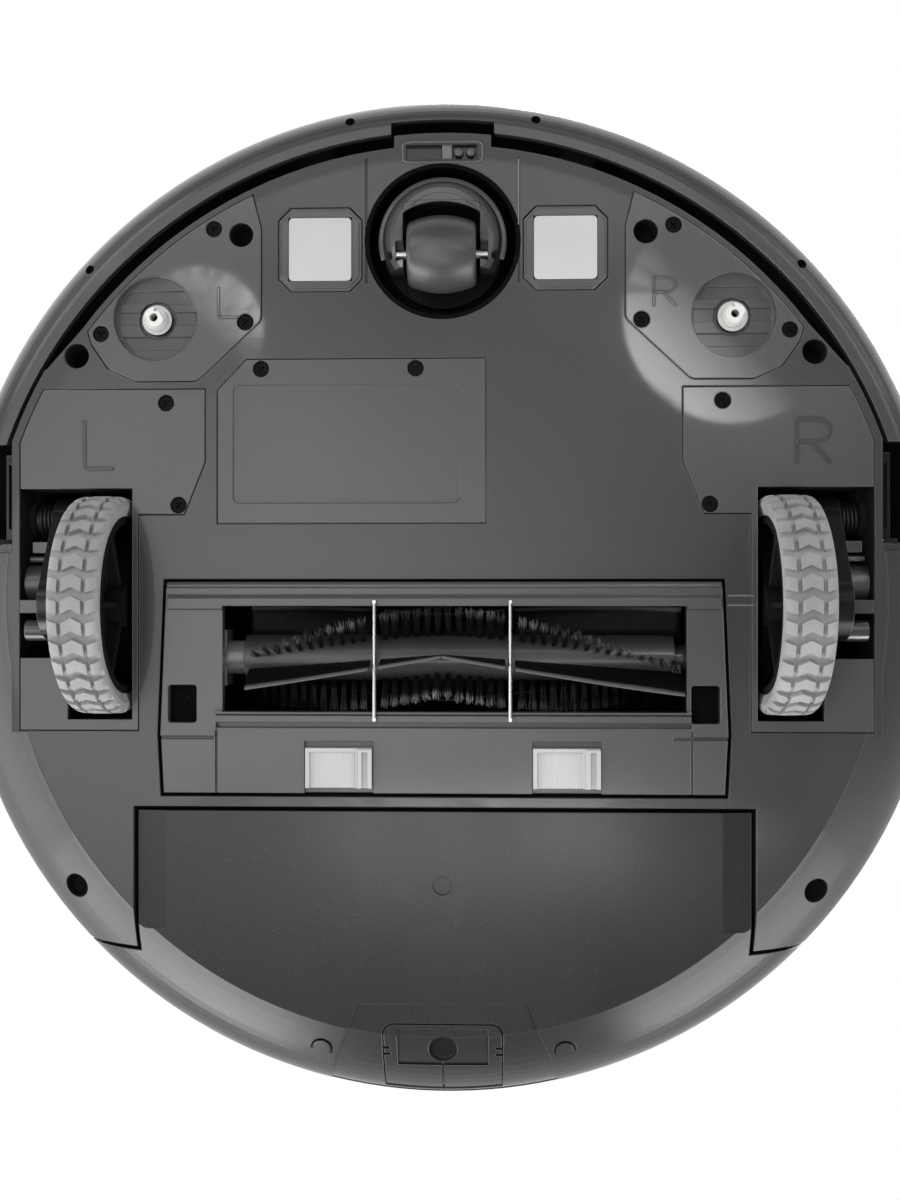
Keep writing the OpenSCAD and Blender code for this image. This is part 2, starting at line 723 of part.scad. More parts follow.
// Shaft that a side brush clips onto: flatted head, round seat, collar and stem
module spin_shaft(flip) color("#e8e8e4") on_belly() right_side(flip) at(spin_x, -spin_y) difference() {
    union() {
        at(0, 0, -1.8) cylinder(r = spin_r - 0.4, h = 2);
        cylinder(r = spin_r, h = seat_l + 0.1);
        at(0, 0, seat_l) cylinder(r = spin_r + 1.2, h = 1.6);
        at(0, 0, seat_l + 1.5) cylinder(r = spin_r, h = gearbox_h - 4.5 - seat_l - 1.5);
    }
    for (a = [30, 210]) rotate(a) block(spin_r - 1.1, spin_r + over, -spin_r, spin_r, -2, -0.3);
    rotate(75) block(-spin_r - over, -spin_r + 1.6, -0.6, 0.6, -2, -0.4);
    at(0, 0, -2) cylinder(r = 1.3, h = 6);
}
module side_brush_motors() color("#9a9c9e") on_belly() sides() at(spin_x - 6, -spin_y + 6, gearbox_h) {
    cylinder(r = 12, h = 20);
    at(0, 0, 20) cylinder(r = 4, h = 2);
}

// ---------- caster ----------

module caster_socket() color("#2e2e2e") on_belly() at(0, -caster_y) difference() {
    union() {
        cylinder(r = caster_well_r + socket_t, h = socket_h);
        cylinder(r = stem_r + 3, h = socket_h + 12);
    }
    at(0, 0, -over) cylinder(r = caster_well_r, h = socket_h - wall + over);
    cylinder(r = stem_r + run_fit, h = socket_h + 10);
}
// Hooded fork that holds the roller, open towards the rear
module caster_fork() color("#4a4a4a") on_belly() at(0, -caster_y) {
    difference() {
        rotate_extrude() polygon(concat(
            [[0, fork_top], [fork_r, fork_top], [fork_r, 6]],
            bend([fork_r, 5], [fork_r, roller_h - 1], [fork_r - 7, roller_h - 5.5], 6),
            [[0, roller_h - 5.5]]
        ));
        // the roller's slot, arched at the front
        intersection() {
            block(-slot_w / 2, slot_w / 2, -13, fork_r + over, roller_h - 10, roller_h + roller_d / 2 + 1.2);
            rod_x(roller_d / 2 + 4.2, -slot_w, slot_w, trail, roller_h);
            at(0, 4, roller_h - 10) cylinder(r = 17, h = roller_d + 10);
        }
        block(-slot_w / 2, slot_w / 2, trail, fork_r + over, roller_h - 10, roller_h + roller_d / 2 + 1.2);
        // behind the axle only the top disc goes on
        block(-fork_r - over, fork_r + over, trail + 4.5, fork_r + over, roller_h - 10, 9);
        rod_x(caster_axle_r, -fork_r, fork_r, trail, roller_h);
        // notches that the axle is clipped in through
        sides() block(
            slot_w / 2 - 0.1, slot_w / 2 + 2.4, trail - 3.2, trail + 2.4, roller_h - 10, roller_h + 0.4
        );
    }
    at(0, 0, fork_top - 1) cylinder(r = stem_r, h = socket_h + 9 - fork_top);
}
module caster_axle() color("#d0d0d0") on_belly() at(0, -caster_y)
    rod_x(caster_axle_r, -slot_w / 2 - 3, slot_w / 2 + 3, trail, roller_h);
function roller_side() = bend([roller_d / 2 - 3, 0], [roller_d / 2 - 0.6, 0], [roller_d / 2 - 0.6, 3.4], 4);
module caster_roller() color("#3a3a3a") on_belly()
at(-roller_w / 2, -caster_y + trail, roller_h) rotate([0, 90, 0]) difference() {
    rotate_extrude() polygon(concat(
        [[0, 0]], roller_side(), [[roller_d / 2, roller_w / 2]],
        [for (i = [4:-1:0]) let (p = roller_side()[i]) [p.x, roller_w - p.y]], [[0, roller_w]]
    ));
    at(0, 0, -over) cylinder(r = caster_axle_r + run_fit, h = roller_w + 2 * over);
}

// ---------- contacts and sensors ----------

contact_t = 1.8;
module contact_frames() color("#5c5c5c") on_belly() sides() difference() {
    union() {
        linear_extrude(wall) contact_frame_plan();
        at(0, 0, -0.5) linear_extrude(1) contact_frame_plan(0.8);
    }
    at(contact_x, -contact_y, -over) linear_extrude(over + contact_t - 0.6)
        square(contact_w + 0.3, center = true);
}
module contact(flip) color("#d8d8d4") on_belly() right_side(flip)
    at(contact_x, -contact_y, -0.6) linear_extrude(contact_t) soft(1.5) square(contact_w, center = true);
window_y = caster_y + caster_well_r + 4.9;
module front_sensor_window() color("#3a3a3c") on_belly() at(0, -window_y) difference() {
    union() {
        linear_extrude(wall) soft(1) slab(-12.5, 12.5, -3, 3);
        linear_extrude(6) soft(1) slab(-11, 11, -3, 2.6);
    }
    at(-5.9, 0, -over) linear_extrude(over + 1.6) square([11.2, 4.6], center = true);
    difference() {
        at(7.1, 0, -over) linear_extrude(over + 1.6) square([7.8, 4.6], center = true);
        for (x = [5.2, 9]) at(x, 0, -over) cylinder(r = 1.4, h = 4);
    }
}
module side_sensors() color("#1c1c1e") on_belly() sides() difference() {
    block(side_x, side_x + 4.2, -lip_end_y + 3, -ring_end_y - 4, 6, ring_rise + 2);
    block(side_x + 1, side_x + 3.2, -lip_end_y + 6, -ring_end_y - 8, 5, 8);
}
module ir_dome() color("#202022") on_belly() at(0, -dome_y, body_h - cover_t) {
    cylinder(r = 9, h = cover_t + 2);
    at(0, 0, -1.2) cylinder(r = 10.5, h = 1.2);
    at(0, 0, cover_t + 2) rotate_extrude() polygon(concat([[0, 0]], bend([9, 0], [8.6, 3.2], [0, 3.4], 6)));
}

// ---------- bumper ----------

bumper_top = body_h - cover_t - 0.5;
bumper_lip_in = nose_r + notch_step + bumper_travel + 0.5;
tongue_x = 46;
tongue_w = 12;
tongue_h = 45;
tongue_t = 2.4;
hook_y = 1.2 - sqrt(pow(nose_r - wall, 2) - pow(tongue_x + tongue_w / 2, 2));
function bumper_side(d) = concat(
    [[lip_r, 0.6 + d]], bend([lip_r + 3, 0.6 + d], [body_r - 3.5 - d, 1.2 + d], [body_r - d, ring_rise]),
    bend([body_r - d, bumper_top - 12], [body_r - d, bumper_top - d], [rim_r, bumper_top - d]),
    [[bumper_lip_in, bumper_top - d]]
);
bumper_turn = asin(ring_end_y / body_r);
bumper_end_y = ring_end_y + bumper_travel + 0.8;
bumper_hole_r = body_r - 8.5;
module bumper_band(d0, d1) rotate([0, 0, 180 + bumper_turn]) rotate_extrude(angle = 180 - 2 * bumper_turn)
    polygon(concat(bumper_side(d0), [for (i = [len(bumper_side(d1)) - 1:-1:0]) bumper_side(d1)[i]]));
window_z0 = 30;
window_z1 = 44;
// Tongue that slides in a slot of the chassis wall, with a hook behind that wall
module bumper_tongue() {
    x0 = tongue_x - tongue_w / 2;
    x1 = tongue_x + tongue_w / 2;
    intersection() {
        block(x0, x1, -body_r, hook_y + 2, tongue_h, tongue_h + tongue_t);
        cylinder(r = body_r - 1, h = body_h);
    }
    block(x0, x1, hook_y, hook_y + 2, tongue_h, tongue_h + 6);
}
module tongue_slot() block(
    tongue_x - tongue_w / 2 - seam, tongue_x + tongue_w / 2 + seam,
    -body_r, hook_y, tongue_h - seam, tongue_h + tongue_t + seam
);
module bumper() color("#646464") on_belly() difference() {
    union() {
        bumper_band(0, bumper_wall);
        sides() bumper_tongue();
    }
    for (a = [-47, -11, 11, 47]) rotate(a) at(0, -bumper_hole_r, -over) cylinder(r = 1.6, h = 8);
    block(-body_r - over, body_r + over, -bumper_end_y, body_r, -over, body_h);
    // the lip ends before the side sensors
    sides() block(side_x - 5, body_r - bumper_wall - 1.2, -lip_end_y, 0, -1, 15);
    // notch in front of the front sensor
    at(0, 0, -over) linear_extrude(8) intersection() {
        circle(r = lip_r + notch_step);
        slab(-notch_x - 1, notch_x + 1, -body_r, 0);
    }
    window_band(1.2 + seam);
}
module window_band(depth) at(0, 0, window_z0) rotate([0, 0, 230]) rotate_extrude(angle = 80)
    slab(body_r - depth, body_r + (depth > 1.2 ? over : 0), 0, window_z1 - window_z0);
module bumper_window() color("#141416") on_belly() window_band(1.2);

// ---------- main brush ----------

module brush_housing() color("#383838") on_belly() {
    x0 = chamber_x0 - housing_t;
    x1 = chamber_x1 + housing_t;
    y0 = brush_y - chamber_r - housing_t;
    y1 = brush_y + chamber_r + housing_t;
    duct_y = bin_y - bin_gap - tunnel_t - seam;
    difference() {
        union() {
            // flange that lies on the belly from inside, round the guard
            at(0, 0, wall + 0.1) linear_extrude(housing_t) intersection() {
                guard_plan(-4);
                slab(-body_r, body_r, -body_r, duct_y);
            }
            block(x0, x1, y0, y1, wall + 0.1, brush_h);
            rod_x(chamber_r + housing_t, x0, x1, brush_y, brush_h);
            block(
                -inlet_x - housing_t, inlet_x + housing_t, brush_y, duct_y,
                inlet_low - housing_t, inlet_high + housing_t
            );
        }
        block(-body_r, body_r, -body_r, body_r, -body_r, wall + 0.1);
        rod_x(chamber_r, chamber_x0, chamber_x1, brush_y, brush_h);
        block(chamber_x0, chamber_x1, brush_y - chamber_r, brush_y + chamber_r, -over, brush_h);
        block(-inlet_x, inlet_x, brush_y, body_r, inlet_low, inlet_high);
        // bore for the brush's drive stub
        rod_x(stub_r + run_fit, chamber_x1 - over, chamber_x1 + housing_t + over, brush_y, brush_h);
    }
}
stub_r = 4;
pin_r = 2;
module brush_gearbox() color("#6a6c6e") on_belly() {
    x0 = chamber_x1 + housing_t + 0.2;
    low = wall + 0.1 + housing_t + 0.2;
    motor_y = brush_y + 33;
    motor_h = brush_h + 14;
    at(x0, 0) rotate([90, 0, 90]) linear_extrude(11) {
        at(brush_y + 1, low + 10) circle(r = 10);
        at(motor_y, motor_h) circle(r = 11.5);
        polygon([
            [brush_y + 1, low], [motor_y + 3, motor_h - 11.2],
            [motor_y - 4, motor_h + 10.8], [brush_y - 3, low + 19.2]
        ]);
    }
    rod_x(10.5, inlet_x + housing_t + 1, x0 + 1, motor_y, motor_h);
}
brush_end = chamber_x1 + housing_t - 0.2;
module brush_core() color("#2a2a2a") on_belly() {
    rod_x(core_d / 2, -brush_left + 6, brush_right - 3, brush_y, brush_h);
    rod_x(stub_r, brush_right - 4, brush_end, brush_y, brush_h);
    rod_x(pin_r, -brush_left - 1, -brush_left + 7, brush_y, brush_h);
}
module brush_bearing() color("#4e4e4e") on_belly() difference() {
    union() {
        rod_x(5.5, chamber_x0, -brush_left + 5.6, brush_y, brush_h);
        block(chamber_x0, -brush_left, brush_y - 9, brush_y + 9, brush_h - 5, brush_h + 5);
    }
    rod_x(pin_r + run_fit, chamber_x0 + 1, -brush_left + 7, brush_y, brush_h);
}
// Stretches of one half of the brush, from the middle out, that leave room for the wire
brush_half = brush_left - 3;
stretches = [[0.01, wire_x - 1.6], [wire_x + 1.6, brush_half - 4]];
// Angle of the first row at the middle and its turn in degrees per mm, counted from straight down
fin_rows = [-3, 0.6];
tuft_rows = [-78, 1.2];
module brush_fins() color("#555555") on_belly() at(0, brush_y, brush_h) for (s = [0, 1]) mirror([s, 0, 0])
    for (stretch = stretches) let (length = stretch[1] - stretch[0])
        rotate([0, 90, 0]) at(0, 0, stretch[0]) rotate(fin_rows[0] + fin_rows[1] * stretch[0])
            linear_extrude(length, twist = -fin_rows[1] * length, slices = 4, $fn = 16)
                for (i = [0:2]) rotate(i * 120) slab(core_d / 2 - 0.5, brush_d / 2 - 1.5, -0.7, 0.7);
tuft_pitch = 5;
module brush_bristles() color("#707070") on_belly() at(0, brush_y, brush_h) for (s = [0, 1]) mirror([s, 0, 0])
    for (x = [tuft_pitch / 2:tuft_pitch:brush_half - 4.5]) if (abs(x - wire_x) > 2)
        for (i = [0:2]) at(x, 0) rotate([180 + tuft_rows[0] + tuft_rows[1] * x + i * 120, 0, 0])
            at(0, 0, core_d / 2 - 1) cylinder(r = 0.8, h = brush_d / 2 - core_d / 2 + 1);

// ---------- brush guard ----------

hinge_y = guard_front + 1.3;
hinge_h = -0.4;
hinge_r = 1.25;
module guard_mouth() slab(-mouth_left, mouth_right, mouth_front, mouth_back);
// Plan of the raised front bar and cheeks
module guard_frame_plan() difference() {
    intersection() {
        guard_plan(0.5);
        slab(-body_r, body_r, guard_front, bar_y + 2.6);
    }
    slab(-cheek_left, cheek_right, mouth_back + 5, body_r);
}
bar_y = guard_back - 21.4;
cheek_left = 72.6;
cheek_right = 79.2;
module brush_guard() color("#606060") on_belly() difference() {
    union() {
        // plate and raised frame, behind the rolled edge that the guard turns on
        intersection() {
            union() {
                at(0, 0, -guard_low) linear_extrude(guard_t + guard_low - guard_proud) guard_plan(0.5);
                at(0, 0, -guard_proud) linear_extrude(guard_t) guard_frame_plan();
            }
            block(-guard_x - over, guard_x + over, hinge_y, guard_back, -guard_t, guard_t);
        }
        rod_x(hinge_r, -guard_x + 1.6, guard_x - 1.6, hinge_y, hinge_h);
        // bevelled front bar, higher towards the mouth
        rotate([90, 0, 90]) at(0, 0, -guard_x + 2) linear_extrude(2 * guard_x - 4)
            polygon([
                [hinge_y + 1, 0], [mouth_front + 1, 0],
                [mouth_front + 1, -guard_proud - bar_rise], [mouth_front - 2.4, -guard_proud - bar_rise]
            ]);
        // lip along the mouth's rear edge
        block(-cheek_left, cheek_right, mouth_back - 0.4, mouth_back + lip_t, -guard_proud - 0.9, 1);
    }
    at(0, 0, -guard_t) linear_extrude(2 * guard_t) guard_mouth();
    // groove between this lip and a second one, then a trough up to the rear bar
    block(-cheek_left, cheek_right, mouth_back + lip_t, mouth_back + lip_gap, -guard_proud - 2, -0.3);
    block(-cheek_left, cheek_right, mouth_back + lip_gap + 2.2, bar_y, -guard_proud - 2, 1.2);
    // holes that the wires' ends stand in
    for (x = [-wire_x, wire_x], e = wire_ends)
        at(x, e[0], -guard_t) cylinder(r = wire_d / 2 + 0.05, h = guard_t + e[1]);
    // joint line between each cheek and the block behind it, and down the side of the rear bar
    sides() block(cheek_left + 0.8, guard_x + 2, bar_y + 3, bar_y + 3.7, -guard_proud - 2, 0.2);
    for (x = [-cheek_left, cheek_right])
        block(x - 0.3, x + 0.3, bar_y + 1, guard_back + 1, -guard_proud - 2, 0.4);
    // windows in the cheeks
    sides() at(0, 0, -guard_proud - over) linear_extrude(over + 2 * guard_t) soft(1) slab(78.8, 88, 27.5, 39.6);
    // pockets of the two release tabs
    for (x = tab_xs) block(
        x - tab_w / 2 - 0.3, x + tab_w / 2 + 0.3, tab_y - tab_travel - 0.3, guard_back + 1, -guard_t, 1.2
    );
}
guard_low = 0.7;
// Ends of each wire, as y and the height its foot reaches up to
wire_ends = [[mouth_front - 1.3, -guard_proud], [mouth_back + lip_gap + 1.1, -0.4]];
module guard_wires() color("#c8c8c8") on_belly() for (x = [-wire_x, wire_x]) {
    at(x, wire_ends[0][0], wire_h) rotate([-90, 0, 0])
        cylinder(r = wire_d / 2, h = wire_ends[1][0] - wire_ends[0][0]);
    for (e = wire_ends) at(x, e[0], wire_h - wire_d / 2)
        cylinder(r = wire_d / 2, h = e[1] - 0.1 - wire_h + wire_d / 2);
}
tab_xs = [-33.2, 39.6];
tab_w = 21.4;
tab_l = 12.8;
tab_y = guard_back - 15;
tab_travel = 1.8;
module tab(x) color("#e0e0e0") on_belly() at(x, tab_y) difference() {
    union() {
        block(-tab_w / 2, tab_w / 2, 0, tab_l, -guard_proud, 0.9);
        block(tab_w / 2 - 4.6, tab_w / 2, 0.3, tab_l, -guard_proud - 0.8, 0);
    }
    block(-tab_w / 2 + 1.3, tab_w / 2 - 5.6, 1.3, tab_l + 1, -guard_proud - 1, -guard_proud + 1);
    block(tab_w / 2 - 3.2, tab_w / 2 - 1.4, 1.3, tab_l + 1, -guard_proud - 1, -guard_proud + 0.3);
}

// ---------- dust bin ----------

latch_w = 38;
latch_y = body_r - 29;
latch_h = 13.5;
latch_travel = 2;
latch_corner = 3.4;
module latch_plan(d) soft(latch_corner - d)
    slab(-latch_w / 2 + d, latch_w / 2 - d, latch_y + 0.4 + d, body_r + 3 * latch_corner);
module bin_shell(d, z0, z1) intersection() {
    at(0, 0, z0) linear_extrude(z1 - z0) bin_plan(-d);
    lower_turn(d, body_h);
}
module bin_body() color("#555555") on_belly() difference() {
    union() {
        difference() {
            bin_shell(0, 0, bin_h - bin_wall);
            bin_shell(bin_wall, bin_wall, bin_h);
        }
        // walls round the latch
        intersection() {
            bin_shell(0.5, 0.5, bin_h - bin_wall);
            block(-latch_w / 2 - 2.4, latch_w / 2 + 2.4, latch_y - 2, body_r, 0, latch_h + latch_travel + 2.4);
        }
        // lugs that the flap's pins turn in
        sides() block(lug_x, lug_x + 2.5, bin_y + bin_wall - 0.5, flap_y + 3, flap_h - 3, flap_h + 3);
    }
    // inlet, where the throat of the brush housing ends
    block(-inlet_x, inlet_x, bin_y - over, bin_y + bin_wall + over, inlet_low, inlet_high);
    // outlet on the fan's side, behind the filter
    rod_x(outlet_r, -bin_x - over, -bin_x + bin_wall + over, outlet_y, outlet_h);
    rod_x(flap_pin_r + run_fit, -lug_x - 4, lug_x + 4, flap_y, flap_h);
    // dimple and bevelled side edges under the floor
    at(0, bin_y + 23.7, -over) cylinder(r = 3, h = over + 0.7);
    sides() at(0, ear_y - 8.4, 0) rotate([90, 0, 0]) linear_extrude(45)
        polygon([[bin_x - 9.2, -0.01], [bin_x + over, -0.01], [bin_x + over, 1.3]]);
    // sunk field round the latch
    difference() {
        at(0, 0, -over) linear_extrude(ring_rise + over) polygon([
            [-27, latch_y - 6.3], [27, latch_y - 6.3], [35, latch_y + 13],
            [39, body_r + over], [-39, body_r + over], [-35, latch_y + 13]
        ]);
        lower_turn(0.6, body_h);
    }
    // round sinks with a dome left in each
    sides() difference() {
        at(39.4, latch_y + 9.5, -over) cylinder(r = 3.7, h = 6.4);
        at(39.4, latch_y + 9.5, -over) cylinder(r = 2.9, h = 6.4);
    }
    at(0, 0, -over) linear_extrude(over + latch_h + latch_travel + 0.4) latch_plan(-0.4);
}
module bin_lid() color("#4a4a4a") on_belly() {
    bin_shell(0, bin_h - bin_wall + 0.05, bin_h);
    difference() {
        bin_shell(bin_wall + 0.2, bin_h - bin_wall - 4, bin_h - bin_wall + 0.2);
        bin_shell(bin_wall + 1.8, bin_h - bin_wall - 5, bin_h);
        block(-inlet_x - 3, inlet_x + 3, bin_y, bin_y + 6, 0, bin_h);
    }
}
// Pleated filter in a frame
filter_y = 94.5;
pleats = 16;
module bin_filter() color("#c4c4bc") on_belly() at(-bin_x + bin_wall + 0.1, filter_y, outlet_h) {
    difference() {
        block(0, 8, -22, 22, -13.6, 13.6);
        block(1.2, 8 + over, -20, 20, -12, 12);
        rod_x(outlet_r - 1, -over, 2, outlet_y - filter_y, 0);
    }
    at(0, 0, -12.5) linear_extrude(25) polygon(concat(
        [for (i = [0:pleats]) [i % 2 == 0 ? 1.5 : 6.6, -20.5 + i * 41 / pleats]],
        [for (i = [pleats:-1:0]) [i % 2 == 0 ? 2.3 : 7.4, -20.5 + i * 41 / pleats]]
    ));
}
// The flap hangs from two pins and swings into the bin
flap_t = 1.4;
module bin_flap() color("#6e6e6e") on_belly() {
    block(-inlet_x - 2, inlet_x + 2, flap_y - flap_pin_r, flap_y - flap_pin_r + flap_t, inlet_low - 2, flap_h);
    rod_x(flap_pin_r, -lug_x - 2.5, lug_x + 2.5, flap_y, flap_h);
}
module bin_latch() color("#5c5c5c") on_belly() difference() {
    intersection() {
        at(0, 0, -over) linear_extrude(over + latch_h) latch_plan(0);
        lower_turn(0.6, ring_rise + 5);
    }
    at(0, latch_y + 9, -over) cylinder(r = 4.6, h = 9);
    // framed face with a line across
    difference() {
        union() {
            block(-latch_w / 2 + 4.4, latch_w / 2 - 4.4, latch_y + 1.8, latch_y + 15, -over, 9);
            block(-0.4, 0.4, latch_y + 1, body_r, -over, 14);
            sides() for (y = [latch_y + 8, latch_y + 10.4])
                block(latch_w / 2 - 2, latch_w / 2 + over, y, y + 0.9, -over, 14);
        }
        lower_turn(1.2, ring_rise + 5);
    }
}

// ---------- top buttons and screws ----------

module button(y, r) color("#8a8a8a") on_belly() at(0, y, body_h) {
    at(0, 0, -cover_t - 1.4) cylinder(r = r, h = cover_t + 1.8);
    at(0, 0, -cover_t - 1.6) cylinder(r = r + 2, h = 1.2);
    at(0, 0, -cover_t - 5) cylinder(r = 2.5, h = 4);
}
module screw(p) at(p.x, p.y) {
    difference() {
        at(0, 0, 1) cylinder(r = head_r, h = 1.4);
        for (a = [45, 135]) rotate(a) block(-1.3, 1.3, -0.3, 0.3, 0, 1.8);
    }
    at(0, 0, 2.3) cylinder(r = shank_r - 0.05, h = 4.5);
}
module belly_screws() color("#9a9a9a") on_belly() {
    sides() for (p = concat(module_screws, wheel_screws)) screw(p);
    for (p = battery_screws) screw(p);
}

chassis_base();
top_cover();
bin_tunnel();
battery_cover();
battery_pack();
main_board();
fan_housing();
fan_impeller();
wheel_housing(true);  // left_wheel_housing
wheel_housing(false);  // right_wheel_housing
brush_module(true);  // left_brush_module
brush_module(false);  // right_brush_module
side_brush_motors();
caster_socket();
contact(true);  // left_contact
contact(false);  // right_contact
contact_frames();
front_sensor_window();
side_sensors();
brush_housing();
brush_gearbox();
belly_screws();
ir_dome();
bumper();
bumper_window();
wheel_arm(true);  // left_arm
wheel_arm(false);  // right_arm
torsion_spring(true);  // left_spring
torsion_spring(false);  // right_spring
wheel_hub(true);  // left_hub
wheel_hub(false);  // right_hub
wheel_tyre(true);  // left_tyre
wheel_tyre(false);  // right_tyre
caster_fork();
caster_axle();
caster_roller();
spin_shaft(true);  // left_shaft
spin_shaft(false);  // right_shaft
brush_core();
brush_fins();
brush_bristles();
brush_bearing();
brush_guard();
guard_wires();
tab(tab_xs[0]);  // left_tab
tab(tab_xs[1]);  // right_tab
bin_body();
bin_lid();
bin_filter();
bin_flap();
bin_latch();
button(button_y, 11);  // power_button
button(button_y + 26, 6);  // home_button
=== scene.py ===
"""Robot vacuum cleaner: finishes, fine pieces and stage around its CAD frame.

The fine pieces are the brush's fins and hair, springs, trim of caster and floor sensor, marks and gaskets.

Lengths are in metres, in the frame of the CAD: +Z up, front towards -Y, belly facing the camera.
"""

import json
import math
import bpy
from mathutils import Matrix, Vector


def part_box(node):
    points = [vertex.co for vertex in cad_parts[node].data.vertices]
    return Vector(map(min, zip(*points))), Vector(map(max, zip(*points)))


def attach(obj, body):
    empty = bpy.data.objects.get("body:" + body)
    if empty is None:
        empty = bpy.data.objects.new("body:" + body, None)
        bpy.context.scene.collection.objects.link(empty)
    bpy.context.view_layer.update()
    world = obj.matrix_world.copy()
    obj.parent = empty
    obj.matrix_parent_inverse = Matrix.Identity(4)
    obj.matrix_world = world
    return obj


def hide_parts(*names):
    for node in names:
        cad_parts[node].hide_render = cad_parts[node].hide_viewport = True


bl_info = {
    "name": "Robot Vacuum Cleaner",
    "version": (1, 0, 0),
    "blender": (4, 5, 0),
    "location": "3D View > Sidebar > Robot Vacuum",
    "description": "Builds the finishes and fine pieces of a robot vacuum cleaner around its CAD frame",
    "category": "Add Mesh",
}

import bpy
import numpy as np
from mathutils import Euler

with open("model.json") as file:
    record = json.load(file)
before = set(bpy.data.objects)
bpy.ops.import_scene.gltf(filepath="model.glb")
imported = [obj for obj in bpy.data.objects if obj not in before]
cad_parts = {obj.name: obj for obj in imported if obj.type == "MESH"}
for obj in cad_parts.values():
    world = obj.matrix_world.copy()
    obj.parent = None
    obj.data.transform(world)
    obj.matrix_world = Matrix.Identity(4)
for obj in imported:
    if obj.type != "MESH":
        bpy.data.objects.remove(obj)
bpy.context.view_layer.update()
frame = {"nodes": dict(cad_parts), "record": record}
JOINTS = {joint["name"]: joint for joint in frame["record"]["behaviour"]["joints"]}
MM = 0.001
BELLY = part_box("battery_cover")[0].z
# the sloping ring round the belly: its inner radius, and the y at which it begins
RING_INNER, RING_START = 140 * MM, -20 * MM


# ---------- sizes and colours that a user would change ----------


class BrushSizes(bpy.types.PropertyGroup):
    """Sizes of the hair and fins of the main brush."""

    hair_radius: bpy.props.FloatProperty(
        name="Hair radius", description="Radius of one brush hair", default=0.00011, min=0.00005, max=0.0003,
        unit="LENGTH", precision=5)
    tuft_pitch: bpy.props.FloatProperty(
        name="Tuft pitch", description="Distance from one tuft to the next along the brush", default=0.0034,
        min=0.002, max=0.006, unit="LENGTH", precision=4)
    hairs: bpy.props.IntProperty(
        name="Hairs", description="Hairs in one tuft", default=26, min=6, max=60)
    fin_twist: bpy.props.FloatProperty(
        name="Fin twist", description="Turn of the fins per metre of brush", default=math.radians(600),
        subtype="ANGLE")
    tuft_twist: bpy.props.FloatProperty(
        name="Tuft twist", description="Turn of the rows of tufts per metre of brush",
        default=math.radians(1200), subtype="ANGLE")


class BodyColours(bpy.types.PropertyGroup):
    """Colours of the moulded parts."""

    shell: bpy.props.FloatVectorProperty(
        name="Shell", description="Colour of the belly shell", default=(0.038, 0.038, 0.039), subtype="COLOR",
        min=0.0, max=1.0)
    panels: bpy.props.FloatVectorProperty(
        name="Panels", description="Colour of housings and covers in the belly",
        default=(0.062, 0.062, 0.063), subtype="COLOR", min=0.0, max=1.0)
    bumper: bpy.props.FloatVectorProperty(
        name="Bumper", description="Colour of the bumper", default=(0.05, 0.05, 0.051), subtype="COLOR",
        min=0.0, max=1.0)
    tyre: bpy.props.FloatVectorProperty(
        name="Tyre", description="Colour of the tyres", default=(0.33, 0.33, 0.325), subtype="COLOR",
        min=0.0, max=1.0)


class StageSizes(bpy.types.PropertyGroup):
    """Camera and floor."""

    focal: bpy.props.FloatProperty(
        name="Focal length", description="Lens of the camera", default=37.56, min=10.0, max=200.0,
        unit="CAMERA")
    distance: bpy.props.FloatProperty(
        name="Distance", description="From the camera to the belly", default=0.400, min=0.1, max=5.0,
        unit="LENGTH")
    floor: bpy.props.FloatProperty(
        name="Floor", description="Half the width of the floor", default=6.0, min=1.0, max=50.0,
        unit="LENGTH")


# ---------- meshes ----------


def mesh_object(name, points, faces, smooth=True):
    """Object made of an n by 3 array of points and a list of arrays of faces."""
    mesh = bpy.data.meshes.new(name)
    mesh.from_pydata(points.tolist(), [], [face for block in faces for face in block.tolist()])
    mesh.polygons.foreach_set("use_smooth", np.full(len(mesh.polygons), smooth))
    mesh.validate()
    mesh.update()
    thing = bpy.data.objects.new(name, mesh)
    bpy.context.scene.collection.objects.link(thing)
    return thing


def grid_faces(rows, columns, wrap=True):
    """Quads between the points of a grid of rows by columns; wrap closes each row on itself."""
    row = np.arange(rows - 1)[:, None] * columns
    j = np.arange(columns if wrap else columns - 1)[None, :]
    k = (j + 1) % columns
    return np.stack([row + j, row + k, row + columns + k, row + columns + j], axis=-1).reshape(-1, 4)


def closed_loop(rows, columns):
    """Faces of a ring-shaped tube: those of the grid, and those from its last row back to its first."""
    ahead, last = np.roll(np.arange(columns), -1), (rows - 1) * columns
    seam = np.stack([last + np.arange(columns), last + ahead, ahead, np.arange(columns)], axis=-1)
    return [grid_faces(rows, columns), seam]


def many_tubes(rings):
    """Points and faces of equal capped tubes given as an array of tube, ring, point round the ring, xyz."""
    count, rows, columns, _ = rings.shape
    ring = np.arange(columns)
    one = [grid_faces(rows, columns), ring[None, ::-1], ring[None, :] + (rows - 1) * columns]
    starts = (np.arange(count) * rows * columns)[:, None, None]
    return rings.reshape(-1, 3), [(part[None] + starts).reshape(-1, part.shape[-1]) for part in one]


def outward(thing):
    """Turns the faces of a closed mesh so that they all point outwards."""
    bpy.context.view_layer.objects.active = thing
    thing.select_set(True)
    bpy.ops.object.mode_set(mode="EDIT")
    bpy.ops.mesh.select_all(action="SELECT")
    bpy.ops.mesh.normals_make_consistent(inside=False)
    bpy.ops.object.mode_set(mode="OBJECT")
    thing.select_set(False)
    return thing


def finish(thing, body, material, node=None):
    """Gives a new piece its material and its body, and hides the CAD node it stands for."""
    thing.data.materials.append(material)
    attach(thing, body)
    if node:
        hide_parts(node)
    return thing


# ---------- materials ----------


